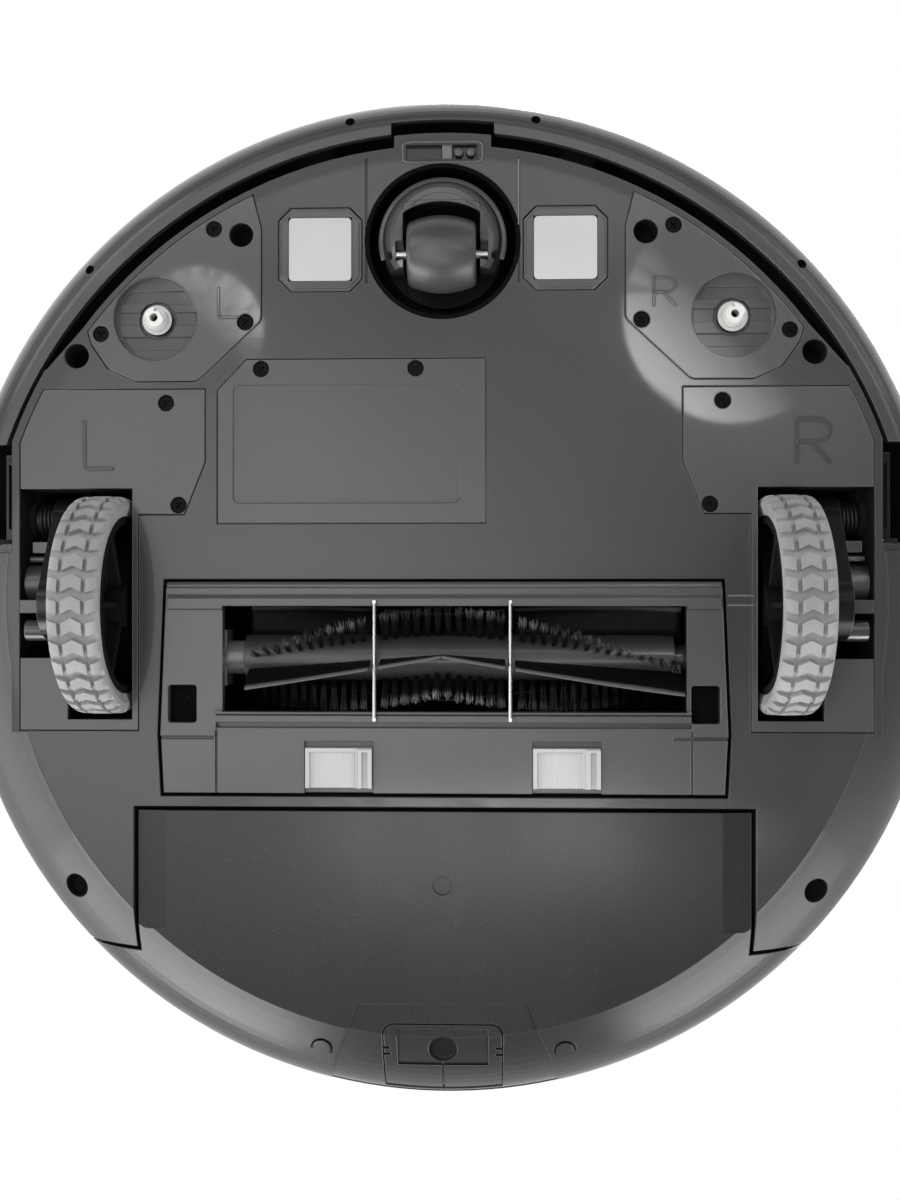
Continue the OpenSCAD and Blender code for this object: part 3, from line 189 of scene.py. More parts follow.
class Recipe:
    """Node tree of one material, with short calls that add and join nodes."""

    def __init__(self, name, **sockets):
        self.material = bpy.data.materials.new(name)
        self.material.use_nodes = True
        self.tree = self.material.node_tree
        self.tree.nodes.clear()
        self.skin = self.add("ShaderNodeBsdfPrincipled", sockets)
        self.surface = self.add("ShaderNodeOutputMaterial").inputs[0]
        self.join(self.skin.outputs[0], self.surface)
        self.place = self.add("ShaderNodeTexCoord").outputs["Object"]

    def add(self, kind, sockets=None, **settings):
        """Node with its settings, whose sockets are set to a value or joined to another socket."""
        node = self.tree.nodes.new(kind)
        for key, value in settings.items():
            setattr(node, key, value)
        for key, value in (sockets or {}).items():
            socket = node.inputs[key.replace("_", " ")] if isinstance(key, str) else node.inputs[key]
            if isinstance(value, bpy.types.NodeSocket):
                self.join(value, socket)
            else:
                socket.default_value = value
        return node

    def join(self, source, target):
        self.tree.links.new(source, target)

    def maths(self, operation, *sources):
        """Number worked out from sockets or numbers."""
        return self.add("ShaderNodeMath", dict(enumerate(sources)), operation=operation).outputs[0]

    def vector(self, operation, *sources):
        """Vector, or the number that the operation gives, worked out from sockets or vectors."""
        node = self.add("ShaderNodeVectorMath", dict(enumerate(sources)), operation=operation)
        return node.outputs["Value" if operation in ("LENGTH", "DOT_PRODUCT") else "Vector"]

    def axis(self, index, source=None):
        """One coordinate of the place, or of another vector."""
        return self.add("ShaderNodeSeparateXYZ", {0: source or self.place}).outputs[index]

    def distance(self, offset, plane=(1, 1, 0)):
        """Length of the part of an offset that lies in a plane."""
        return self.vector("LENGTH", self.vector("MULTIPLY", offset, plane))

    def noise(self, scale, detail=3.0, stretch=(1, 1, 1)):
        """Noise whose features are about 1 / scale metres, drawn out along an axis by stretch."""
        place = self.place
        if stretch != (1, 1, 1):
            place = self.add("ShaderNodeMapping", {"Vector": place, "Scale": stretch}).outputs[0]
        sockets = {"Vector": place, "Scale": scale, "Detail": detail}
        return self.add("ShaderNodeTexNoise", sockets).outputs["Fac"]

    def span(self, source, low, high, start=0.0, end=1.0):
        """Source from low to high, spread over start to end."""
        return self.add("ShaderNodeMapRange", {0: source, 1: low, 2: high, 3: start, 4: end}).outputs[0]

    def blend(self, factor, first, second):
        """Colour between first and second."""
        node = self.add("ShaderNodeMix", data_type="RGBA")
        for socket, value in ((node.inputs[0], factor), (node.inputs[6], first), (node.inputs[7], second)):
            if isinstance(value, bpy.types.NodeSocket):
                self.join(value, socket)
            else:
                socket.default_value = value if isinstance(value, float) else (*value[:3], 1.0)
        return node.outputs[2]

    def sum(self, first, second, share=1.0):
        """First plus share times second."""
        return self.maths("MULTIPLY_ADD", second, share, first)

    def relief(self, height, depth, edge=0.0):
        """Bump of the given depth in metres, over edges rounded by the given radius."""
        bump = self.add("ShaderNodeBump", {"Height": height, "Distance": depth, "Strength": 1.0})
        self.join(bump.outputs[0], self.skin.inputs["Normal"])
        if edge:
            self.join(self.rounded(edge), bump.inputs["Normal"])
            self.join(self.rounded(edge), self.skin.inputs["Coat Normal"])

    def rounded(self, radius):
        """Normal as if every edge had a fillet of this radius."""
        if not hasattr(self, "fillet"):
            self.fillet = self.add("ShaderNodeBevel", {"Radius": radius}, samples=6).outputs[0]
        return self.fillet

    def worn(self, radius):
        """Mask of the edges, 1 on the very edge."""
        flat = self.add("ShaderNodeNewGeometry").outputs["Normal"]
        return self.span(self.vector("DOT_PRODUCT", self.rounded(radius), flat), 0.97, 0.75)

    def near(self, x, y, radius):
        """Mask that is 1 within a radius of an upright axis on either side of the middle."""
        offset = self.vector("SUBTRACT", self.vector("ABSOLUTE", self.place), (x, abs(y), 0))
        return self.span(self.distance(offset), radius + 0.2 * MM, radius)

    def painted_shade_mask(self, start, end):
        """Mask of painted shade, from 0 to 1 between two heights above the flat of the belly, off the sloping
        rear ring.
        """
        inboard = self.span(self.distance(self.place), RING_INNER + 0.5 * MM, RING_INNER - 0.5 * MM)
        ahead = self.span(self.axis(1), RING_START, RING_START - 1 * MM)
        up = self.span(self.axis(2), BELLY + start, BELLY + end)
        return self.maths("MULTIPLY", up, self.maths("MAXIMUM", inboard, ahead))

    def colour(self, socket):
        self.join(socket, self.skin.inputs["Base Color"])

    def roughness(self, socket):
        self.join(socket, self.skin.inputs["Roughness"])


def shade(colour, factor):
    return tuple(min(1.0, channel * factor) for channel in colour)


def grey(level):
    return level, level, level


def moulded(name, colour, roughness, grain=0.03 * MM, coat=0.6, inside=None, dish=None, holes=(), rim=0.0,
            gloss=1.47, blur=0.045):
    """Moulded plastic: fine spark-eroded grain, handling haze in the gloss, faint dust, pale rubbed edges.

    Inside is the height above the belly from which the walls of wells are painted near-black, dull and
    without coat, as painted shade, except within the dish; the discs given in holes are painted black the
    same way. Dish and holes are given as x, y and radius. Beyond the rim's radius the coat is thin. Gloss is
    the index of refraction, and blur the roughness of the coat."""
    edge, haze = 0.5 * MM, 0.05
    skin = Recipe(name, Roughness=roughness, IOR=gloss, Coat_Weight=coat, Coat_Roughness=blur)
    cloud = skin.noise(9, 4)
    dust = skin.span(skin.noise(1500, 2), 0.66, 0.78)
    body = skin.blend(skin.span(cloud, 0.35, 0.65), shade(colour, 0.92), shade(colour, 1.08))
    body = skin.blend(skin.span(skin.worn(edge), 0, 1, 0, 0.3), body, shade(colour, 2.4))
    body = skin.blend(skin.span(dust, 0, 1, 0, 0.1), body, (0.4, 0.4, 0.39))
    wipe = skin.span(skin.noise(26, 5, (1, 0.35, 1)), 0.3, 0.7, roughness - haze, roughness + haze)
    # painted shade: above the inside height the walls of wells, and the discs in holes, are painted
    # near-black, dull and coatless
    if inside is not None:
        painted_shade = skin.painted_shade_mask(inside, inside + 0.6 * MM)
        if dish:
            painted_shade = skin.sum(painted_shade, skin.near(*dish), -1)
        for hole in holes:
            painted_shade = skin.maths("MAXIMUM", painted_shade, skin.near(*hole))
        body = skin.blend(painted_shade, body, grey(0.002))
        polish = skin.span(painted_shade, 0, 1, coat, 0)
        if rim:
            soft = skin.span(skin.distance(skin.place), rim - 1 * MM, rim + 1 * MM, 1.0, 0.1)
            polish = skin.maths("MULTIPLY", polish, soft)
        skin.join(polish, skin.skin.inputs["Coat Weight"])
        wipe = skin.sum(wipe, painted_shade, 0.6)
    skin.colour(body)
    skin.roughness(wipe)
    skin.relief(skin.noise(2600, 2), grain, edge)
    return skin.material


def glossy(name, colour, roughness, haze=0.14):
    """Polished plastic: clean colour, hair scratches and finger haze in the gloss."""
    skin = Recipe(name, Roughness=roughness, IOR=1.5)
    cloud = skin.noise(14, 4)
    skin.colour(skin.blend(skin.span(cloud, 0.35, 0.65), shade(colour, 0.92), shade(colour, 1.08)))
    wipe = skin.sum(skin.noise(30, 5), skin.noise(900, 2, (1, 0.04, 1)), 0.5)
    skin.roughness(skin.span(wipe, 0.5, 1.1, roughness, roughness + haze))
    skin.relief(skin.noise(160, 2), 0.03 * MM, 0.4 * MM)
    return skin.material


def rubber(name, colour, roughness=0.72):
    """Rubber: matt, mottled, with dust held in its pores."""
    skin = Recipe(name, Roughness=roughness, IOR=1.45)
    cloud, pores = skin.noise(60, 5), skin.noise(1400, 3)
    body = skin.blend(skin.span(cloud, 0.3, 0.7), shade(colour, 0.82), shade(colour, 1.12))
    skin.colour(skin.blend(skin.span(pores, 0.55, 0.75, 0, 0.35), body, shade(colour, 0.6)))
    skin.roughness(skin.span(cloud, 0.3, 0.7, roughness - 0.08, roughness + 0.1))
    skin.relief(skin.sum(skin.noise(900, 3), cloud, 0.6), 0.12 * MM)
    return skin.material


def metal(name, colour, roughness, bare=1.0, gloss=1.5):
    """Metal: fine grain and faint stains; bare is less than 1 where it is plated or oxidised."""
    skin = Recipe(name, Roughness=roughness, Metallic=bare, IOR=gloss)
    lines, stain = skin.noise(700, 3), skin.noise(70, 4)
    skin.colour(skin.blend(skin.span(stain, 0.35, 0.7), shade(colour, 1.05), shade(colour, 0.82)))
    skin.roughness(skin.span(skin.sum(lines, stain, 0.6), 0.5, 1.1, roughness - 0.08, roughness + 0.14))
    skin.relief(lines, 0.02 * MM)
    return skin.material


def bossed(name, tone, bare):
    """Black moulding whose bosses, outboard of its plate, have a grey tone and are partly bare metal."""
    skin = Recipe(name, Roughness=0.3, IOR=1.5)
    boss = skin.span(skin.maths("ABSOLUTE", skin.axis(0)), 127.6 * MM, 128 * MM)
    stain = skin.noise(90, 4)
    skin.colour(skin.blend(boss, skin.blend(stain, grey(0.006), grey(0.012)), grey(tone)))
    skin.join(skin.span(boss, 0, 1, 0, bare), skin.skin.inputs["Metallic"])
    skin.roughness(skin.span(stain, 0.3, 0.7, 0.16, 0.3))
    skin.relief(skin.noise(800, 2, (0.1, 1, 1)), 0.01 * MM, 0.4 * MM)
    return skin.material


def fin(name, axis, low, high):
    """Rubber blades: black, and paler grey from the low to the high distance from the brush's axis."""
    skin = Recipe(name, Roughness=0.5, IOR=1.18)
    away = skin.distance(skin.vector("SUBTRACT", skin.place, axis), (0, 1, 1))
    tip_reach = skin.sum(away, skin.noise(90, 3), 1.2 * MM)
    skin.colour(skin.blend(skin.span(tip_reach, low, high), grey(0.004), (0.11, 0.11, 0.112)))
    skin.roughness(skin.span(skin.noise(400, 3), 0.3, 0.7, 0.42, 0.6))
    skin.relief(skin.noise(1400, 3), 0.04 * MM, 0.3 * MM)
    return skin.material


def hair(name, colour):
    """Nylon hair: dark at the root, paler and dusty towards the tip; its UV runs along the hair."""
    skin = Recipe(name, Roughness=0.45, IOR=1.5)
    along = skin.axis(1, skin.add("ShaderNodeTexCoord").outputs["UV"])
    tip = skin.span(skin.sum(along, skin.noise(300, 2), 0.3), 0.85, 1.25)
    worn = skin.span(skin.noise(70, 2), 0.42, 0.62, 0.06, 0.5)
    skin.colour(skin.blend(skin.maths("MULTIPLY", tip, worn), colour, (0.8, 0.8, 0.78)))
    skin.relief(skin.noise(2000, 2), 0.03 * MM)
    return skin.material


def dress(material, *nodes):
    """Puts a material on CAD nodes."""
    for name in nodes:
        for slot in frame["nodes"][name].material_slots:
            slot.material = material


# ---------- operators: finishes of the CAD nodes ----------


class FinishBody(bpy.types.Operator):
    """Moulded finishes of shell, covers, bumper, bin and keys"""

    bl_idname = "robovac.finish_body"
    bl_label = "Body finishes"

    def execute(self, context):
        colours = context.scene.robovac_colours
        shell, panels, bumper = tuple(colours.shell), tuple(colours.panels), tuple(colours.bumper)
        # painted shade: each inside height blackens the walls of that part's wells, and the two hole discs
        # paint two deep openings in the shell black
        rear_hole_shade, side_hole_shade = (0.1198, 0.0936, 0.0041), (0.149, 0.015, 0.0028)
        shaft_dish = (0.0926, -0.0903, 0.0136)
        dress(moulded("belly shell", shell, 0.38, inside=1.2 * MM, holes=(rear_hole_shade, side_hole_shade),
                      rim=RING_INNER + 1 * MM), "chassis_base")
        dress(moulded("wheel housings", panels, 0.36, inside=1.2 * MM), "left_wheel_housing",
              "right_wheel_housing")
        dress(moulded("brush modules", panels, 0.36, inside=0.8 * MM, dish=shaft_dish), "left_brush_module",
              "right_brush_module")
        dress(moulded("panels", panels, 0.36, blur=0.08), "battery_cover", "contact_frames", "brush_gearbox",
              "fan_impeller")
        dress(moulded("caster fork", panels, 0.32, inside=-3.5 * MM), "caster_fork")
        dress(moulded("brush guard", shade(panels, 1.1), 0.34, blur=0.12), "brush_guard")
        dress(moulded("bearing", grey(0.14), 0.3), "brush_bearing")
        dress(moulded("bin", shade(panels, 0.42), 0.24, coat=0.0), "bin_body", "bin_lid", "bin_latch")
        dress(moulded("bumper", bumper, 0.36, blur=0.12), "bumper")
        # painted shade: the inner mouldings are near-black with a weak gloss, standing in for the shade in
        # the chamber and the wells
        dress(moulded("inner mouldings", grey(0.004), 0.7, coat=0.0, gloss=1.12), "bin_tunnel", "fan_housing",
              "caster_socket", "brush_housing")
        # the right arm's bosses are a paler, more metallic copy of the left arm's: a painted highlight for
        # the bright stripes that light lays on that side
        dress(bossed("left arm moulding", 0.1, 0.5), "left_arm")
        dress(bossed("right arm moulding", 0.22, 0.9), "right_arm")
        dress(glossy("top cover", (0.045, 0.045, 0.047), 0.14, 0.05), "top_cover")
        dress(glossy("keys", (0.34, 0.34, 0.35), 0.2), "power_button", "home_button")
        dress(glossy("infrared window", (0.012, 0.012, 0.014), 0.06), "bumper_window", "ir_dome",
              "front_sensor_window", "side_sensors")
        return {"FINISHED"}


class FinishRunningGear(bpy.types.Operator):
    """Finishes of wheels, caster, brush core, tabs, contacts and hidden parts"""

    bl_idname = "robovac.finish_gear"
    bl_label = "Running gear finishes"

    def execute(self, context):
        colours = context.scene.robovac_colours
        dress(rubber("tyre rubber", tuple(colours.tyre)), "left_tyre", "right_tyre")
        dress(moulded("hubs", grey(0.006), 0.5, coat=0.0, gloss=1.25), "left_hub", "right_hub")
        dress(moulded("brush core", grey(0.03), 0.42, blur=0.2), "brush_core")
        dress(rubber("flap rubber", (0.06, 0.06, 0.062), 0.6), "bin_flap")
        # painted shade: above 2.4 mm over the belly the shafts are painted black, in the bore round them
        dress(moulded("shafts", (0.72, 0.72, 0.7), 0.3, inside=2.4 * MM), "left_shaft", "right_shaft")
        dress(glossy("release tabs", (0.5, 0.5, 0.49), 0.22), "left_tab", "right_tab")
        dress(glossy("contact plates", (0.55, 0.55, 0.54), 0.4), "left_contact", "right_contact")
        dress(metal("steel", (0.72, 0.72, 0.73), 0.3), "caster_axle", "guard_wires", "side_brush_motors")
        # painted shade: the screw heads are a black without metal, standing in for the shade of their deep
        # wells
        dress(metal("blackened screws", grey(0.004), 0.5, bare=0.0, gloss=1.2), "belly_screws")
        dress(glossy("battery sleeve", (0.03, 0.09, 0.16), 0.3), "battery_pack")
        dress(glossy("circuit board", (0.01, 0.08, 0.035), 0.25), "main_board")
        dress(rubber("filter paper", (0.62, 0.62, 0.58), 0.9), "bin_filter")
        return {"FINISHED"}


# ---------- operators: new pieces ----------

BRUSH_AXIS = JOINTS["brush_spin"]["pos_m"]
BRUSH_R = (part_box("brush_bristles")[1].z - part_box("brush_bristles")[0].z) / 2
CORE_R = 7.5 * MM
WIRE_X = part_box("guard_wires")[1].x - 0.6 * MM
REACH = {-1: -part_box("brush_fins")[0].x - 0.5 * MM, 1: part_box("brush_core")[1].x - 4 * MM}
ROWS = 3
FIN_START, TUFT_START = math.radians(-3), math.radians(-78)


def stretches(side):
    """Lengths of one half of the brush, from the middle out, that leave room for a wire."""
    return (0.1 * MM, WIRE_X - 1.6 * MM), (WIRE_X + 1.6 * MM, REACH[side])


class BrushFins(bpy.types.Operator):
    """Twisted rubber fins of the main brush, rising in a chevron from its middle"""

    bl_idname = "robovac.brush_fins"
    bl_label = "Brush fins"

    def execute(self, context):
        twist = context.scene.robovac_brush.fin_twist
        rings = []
        # cross-section of a fin: a strip that thins towards a round lip
        out = CORE_R + np.array([[-0.5, 2.5, 6.5, 8.6, 9.4, 9.4, 8.6, 6.5, 2.5, -0.5]]) * MM
        across = np.array([[0.9, 0.75, 0.6, 0.55, 0.25, -0.25, -0.55, -0.6, -0.75, -0.9]]) * MM
        for side in (-1, 1):
            for start, end in stretches(side):
                x = np.linspace(start, end, 28)[:, None]
                for row in range(ROWS):
                    turn = FIN_START + twist * x + row * math.tau / ROWS
                    down = out * np.cos(turn) - across * np.sin(turn)
                    rear = out * np.sin(turn) + across * np.cos(turn)
                    rings.append(np.stack([np.broadcast_to(side * x, down.shape) + BRUSH_AXIS[0],
                                           rear + BRUSH_AXIS[1], BRUSH_AXIS[2] - down], axis=-1))
        fins = mesh_object("brush_fin_rubber", *many_tubes(np.stack(rings)))
        finish(outward(fins), "main_brush",
               fin("fin rubber", BRUSH_AXIS, CORE_R + 8.4 * MM, CORE_R + 9.6 * MM), "brush_fins")
        return {"FINISHED"}


class BrushHair(bpy.types.Operator):
    """Rows of nylon tufts between the fins of the main brush"""

    bl_idname = "robovac.brush_hair"
    bl_label = "Brush hair"

    def execute(self, context):
        sizes = context.scene.robovac_brush
        rng = np.random.default_rng(seed=7)
        places = np.arange(sizes.tuft_pitch / 2, REACH[1], sizes.tuft_pitch)
        places = places[np.abs(places - WIRE_X) > 2.4 * MM]
        side, row, x = np.meshgrid((-1.0, 1.0), np.arange(ROWS), places, indexing="ij")
        side, row, x = side.ravel(), row.ravel(), x.ravel()
        kept = (side > 0) | (x < REACH[-1])
        side, row, x = side[kept], row[kept], x[kept]
        turn = TUFT_START + sizes.tuft_twist * x + row * math.tau / ROWS
        # hairs of a tuft stand in a small disc and spread a little towards their tips
        shape, steps, sides = (len(x), sizes.hairs), 4, 3
        spot, angle = np.sqrt(rng.random(shape)) * 0.8 * MM, rng.random(shape) * math.tau
        foot = np.stack([spot * np.cos(angle), spot * np.sin(angle)], axis=-1)
        lean = foot * 0.9 + rng.normal(0, 0.25 * MM, (*shape, 2))
        length = (BRUSH_R - CORE_R + 0.6 * MM) * (1 - 0.07 * rng.random(shape))
        t = np.linspace(0, 1, steps)
        offset = foot[..., None, :] + lean[..., None, :] * (t ** 1.6)[:, None]
        rise = CORE_R - 0.6 * MM + length[..., None] * t
        corner = np.arange(sides) * math.tau / sides
        thick = sizes.hair_radius * (1 - 0.5 * t)
        along = offset[..., 0][..., None] + thick[:, None] * np.cos(corner)
        across = offset[..., 1][..., None] + thick[:, None] * np.sin(corner)
        turned = turn[:, None, None, None]
        down = rise[..., None] * np.cos(turned) - across * np.sin(turned)
        rear = rise[..., None] * np.sin(turned) + across * np.cos(turned)
        world = np.stack([side[:, None, None, None] * (x[:, None, None, None] + along) + BRUSH_AXIS[0],
                          rear + BRUSH_AXIS[1], BRUSH_AXIS[2] - down], axis=-1)
        hairs = mesh_object("brush_hair", *many_tubes(world.reshape(-1, steps, sides, 3)))
        layer = hairs.data.uv_layers.new(name="along")
        index = np.empty(len(hairs.data.loops), dtype=np.int64)
        hairs.data.loops.foreach_get("vertex_index", index)
        uv = np.stack([index % sides / sides, index // sides % steps / (steps - 1)], axis=-1)
        layer.data.foreach_set("uv", uv.ravel())
        finish(outward(hairs), "main_brush", hair("nylon hair", grey(0.006)), "brush_bristles")
        return {"FINISHED"}


class SuspensionSprings(bpy.types.Operator):
    """Torsion springs round the barrels of the suspension arms"""

    bl_idname = "robovac.springs"
    bl_label = "Suspension springs"

    def execute(self, context):
        for name in ("left", "right"):
            low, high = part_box(name + "_spring")
            pivot = JOINTS[name + "_suspension_pivot"]["pos_m"]
            wire, turns, steps, sides = 0.58 * MM, 4, 160, 12
            radius = (high.y - low.y) / 2 - wire - 0.02 * MM
            t = np.linspace(0, 1, steps)[:, None]
            around = (np.arange(sides) * math.tau / sides)[None, :]
            turn, reach = t * turns * math.tau, radius + wire * np.cos(around)
            x = low.x + wire + (high.x - low.x - 2 * wire) * t + wire * np.sin(around)
            ring = np.stack([x, pivot[1] + reach * np.cos(turn), pivot[2] + reach * np.sin(turn)], axis=-1)
            spring = mesh_object(name + "_coil", *many_tubes(ring[None]))
            finish(outward(spring), name + "_suspension",
                   metal("spring wire", grey(0.06), 0.5), name + "_spring")
        return {"FINISHED"}


def hood_height(reach):
    """Height of the caster's hood over the belly at a distance from the swivel's axis, in millimetres.

    The hood curves as a quadratic Bezier through heights 5, -5 and -9.5 mm, from a reach of 19.5 mm in to
    12.5 mm, and is flat inside that."""
    t = np.sqrt(np.clip((19.5 - reach) / 7, 0, 1))
    return 5 * (1 - t) ** 2 - 10 * t * (1 - t) - 9.5 * t ** 2


class CasterTrim(bpy.types.Operator):
    """Crowned roller of the caster, and the arched lip and front flange of its hood"""

    bl_idname = "robovac.caster_trim"
    bl_label = "Caster roller and hood trim"

    def execute(self, context):
        low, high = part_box("caster_roller")
        axis_y, axis_z = (low.y + high.y) / 2, (low.z + high.z) / 2
        half, radius = (high.x - low.x) / 2, (high.z - low.z) / 2
        bore, sides = 1.62 * MM, 96
        # profile: up from the bore, over a crown that drops 2.4 mm towards both ends, and down to the bore
        t = np.linspace(-1, 1, 41)
        crown = radius - 2.4 * MM * t ** 2 - 0.7 * MM * np.clip((np.abs(t) - 0.93) / 0.07, 0, 1) ** 2
        x = np.concatenate([[-half], t * half, [half, half]])[:, None]
        reach = np.concatenate([[bore], crown, [bore, bore]])[:, None]
        turn = np.linspace(0, math.tau, sides, endpoint=False)
        points = np.stack([np.broadcast_to(x, (len(x), sides)), axis_y + reach * np.cos(turn),
                           axis_z + reach * np.sin(turn)], axis=-1)
        roller = mesh_object("roller_tread", points.reshape(-1, 3), closed_loop(len(x), sides))
        rubbed = moulded("roller", (0.05, 0.05, 0.051), 0.36, 0.02 * MM, coat=0.0, gloss=1.6)
        finish(outward(roller), "roller", rubbed, "caster_roller")

        # lip: the hood carried on behind its straight front edge up to an arch, 1.2 mm thick
        pivot = (0, JOINTS["caster_swivel"]["pos_m"][1], BELLY)
        x = np.linspace(-12.2, 12.2, 49)[:, None]
        front, arch = -10.3, -9.85 + x ** 2 / 46.5
        y = front + (arch - front) * np.linspace(0, 1, 8)[None, :]
        outer = np.stack([np.broadcast_to(x, y.shape), y, hood_height(np.hypot(x, y)) - 0.02], axis=-1)
        ring = np.concatenate([outer, outer[:, ::-1] + (0, 0, 1.2)], axis=1) * MM + pivot
        lip = mesh_object("hood_lip", *many_tubes(ring[None]))
        hood = moulded("hood", tuple(context.scene.robovac_colours.panels), 0.32)
        finish(outward(lip), "caster", hood)

        # flange: a narrow ledge round the front of the hood, level with the belly
        turn = np.linspace(math.pi - 0.3, math.tau + 0.3, 73)[:, None]
        reach = np.array([18.8, 19.6, 20.2, 20.5, 20.5, 18.8])
        height = np.array([-0.5, -0.3, -0.05, 0.3, 1.1, 1.1])
        ring = np.stack([reach * np.cos(turn), reach * np.sin(turn), height + 0 * turn], axis=-1) * MM + pivot
        flange = mesh_object("hood_flange", *many_tubes(ring[None]))
        finish(outward(flange), "caster", hood)
        return {"FINISHED"}


def stroke(path, width, low, high):
    """Straight-sided bar carried along a flat path of x, y points, between two heights."""
    path = np.array(path)
    ahead = np.gradient(path, axis=0)
    ahead /= np.linalg.norm(ahead, axis=1)[:, None]
    side = np.stack([-ahead[:, 1], ahead[:, 0]], axis=1) * width / 2
    corners = ((path + side, low), (path + side, high), (path - side, high), (path - side, low))
    ring = [np.column_stack([edge, np.full(len(path), height)]) for edge, height in corners]
    return many_tubes(np.stack(ring, axis=1)[None])


def letter(name, strokes, corner, height, width, material, proud=0.25):
    """Mark made of strokes whose points run from 0 to 1 over its height, y down the page.

    It stands proud of the belly by that many millimetres, and each stroke by a trace more than the last."""
    points, faces, first = [], [], 0
    for step, path in enumerate(strokes):
        path = np.array(path) * height + np.array(corner)
        spots, parts = stroke(path, width, BELLY - (proud + 0.04 * step) * MM, BELLY + 0.4 * MM)
        points.append(spots)
        faces += [part + first for part in parts]
        first += len(spots)
    piece = mesh_object(name, np.concatenate(points), faces, smooth=False)
    finish(outward(piece), "chassis", material)


LEG = np.linspace(0, 1, 5)[:, None]
LETTER_L = (np.hstack([LEG * 0, LEG]), np.hstack([LEG * 0.62, LEG * 0 + 1]))
BOW = np.linspace(-math.pi / 2, math.pi / 2, 12)[:, None]
LETTER_R = (
    np.hstack([LEG * 0, LEG]),
    np.vstack([[[0, 0.02], [0.34, 0.02]], np.hstack([0.44 + 0.3 * np.cos(BOW), 0.27 + 0.25 * np.sin(BOW)]),
               [[0.34, 0.52], [0, 0.52]]]),
    np.hstack([0.34 + LEG * 0.42, 0.52 + LEG * 0.48]),
)


class SensorTrim(bpy.types.Operator):
    """Rim, middle block and two lenses of the floor sensor in front of the caster"""

    bl_idname = "robovac.sensor_trim"
    bl_label = "Floor sensor trim"

    def execute(self, context):
        low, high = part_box("front_sensor_window")
        middle = (0, (low.y + high.y) / 2, BELLY)
        pale = moulded("sensor rim", (0.11, 0.11, 0.112), 0.3)

        # rim: a round wire along a superellipse, a rectangle with rounded corners
        half_x, half_y, power, wire, steps, sides = 12.7, 3.25, 0.22, 0.32, 96, 10
        turn = np.linspace(0, math.tau, steps, endpoint=False)[:, None]
        around = np.linspace(0, math.tau, sides, endpoint=False)[None, :]
        cos, sin = np.cos(turn), np.sin(turn)
        out = wire * np.cos(around)
        rim = np.stack([np.sign(cos) * np.abs(cos) ** power * (half_x + out),
                        np.sign(sin) * np.abs(sin) ** power * (half_y + out),
                        0 * turn - 0.05 + wire * np.sin(around)], axis=-1) * MM + middle
        rim = mesh_object("sensor_rim", rim.reshape(-1, 3), closed_loop(steps, sides))
        finish(outward(rim), "chassis", pale)

        path = np.array([[1.45, -2.1], [1.45, 2.1]]) * MM + middle[:2]
        block = mesh_object("sensor_block", *stroke(path, 3 * MM, BELLY - 0.08 * MM, BELLY + 0.5 * MM),
                            smooth=False)
        finish(outward(block), "chassis", pale)

        # lenses: shallow domes, a quarter of an ellipse turned round its axis
        radius, bulge = 1.35, 0.7
        tilt = np.linspace(0.02, math.pi / 2, 9)[:, None]
        spin = np.linspace(0, math.tau, 32, endpoint=False)[None, :]
        domes = []
        for x in (5.2, 9.0):
            dome = np.stack([x + radius * np.sin(tilt) * np.cos(spin), radius * np.sin(tilt) * np.sin(spin),
                             0.05 - bulge * np.cos(tilt) + 0 * spin], axis=-1)
            domes.append(dome * MM + middle)
        lenses = mesh_object("sensor_lenses", *many_tubes(np.stack(domes)))
        finish(outward(lenses), "chassis", glossy("lens glass", grey(0.1), 0.06))
        return {"FINISHED"}


class SideMarks(bpy.types.Operator):
    """Plain raised L and R beside the wheels and the side brush shafts, and pale ribs on two seams, one a
    painted highlight
    """

    bl_idname = "robovac.side_marks"
    bl_label = "Side marks"

    def execute(self, context):
        paint = moulded("side marks", grey(0.036), 0.36)
        letter("wheel_mark_left", LETTER_L, (-0.1156, -0.0575), 0.0155, 0.0013, paint)
        letter("wheel_mark_right", LETTER_R, (0.1122, -0.0572), 0.0142, 0.0015, paint)
        letter("brush_mark_left", LETTER_L, (-0.0720, -0.1003), 0.0098, 0.0010, paint)
        letter("brush_mark_right", LETTER_R, (0.0672, -0.1024), 0.0093, 0.0010, paint)
        # pale ribs: the rib on the right seam is a painted highlight line; the two bars by the guard are pale
        # grey
        pale = moulded("worn ribs", grey(0.2), 0.3)
        upright, flat = np.hstack([LEG * 0, LEG]), np.hstack([LEG, LEG * 0])
        letter("seam_rib", (upright,), (0.0243, -0.1405), 0.021, 0.0004, pale, 0.1)
        letter("guard_ribs", (flat, flat + (0, 0.36)), (0.0905, -0.0011), 0.0085, 0.0005, pale, 0.1)
        return {"FINISHED"}


class SensorGaskets(bpy.types.Operator):
    """Foam blocks that close the slots under the side sensors, behind the ends of the bumper"""

    bl_idname = "robovac.sensor_gaskets"
    bl_label = "Sensor gaskets"

    def execute(self, context):
        corner = np.array([(-1, -1), (1, -1), (1, 1), (-1, 1)]) * (2.1, 0.85)
        blocks = []
        for side in (-1, 1):
            flat = corner + (side * 142.7, -18.45)
            blocks.append(np.stack([np.column_stack([flat, np.full(4, z)]) for z in (36.3, 37.9)]) * MM)
        gaskets = mesh_object("sensor_gaskets", *many_tubes(np.stack(blocks)), smooth=False)
        finish(outward(gaskets), "chassis", rubber("gasket foam", grey(0.008), 0.9))
        return {"FINISHED"}


# ---------- stage ----------


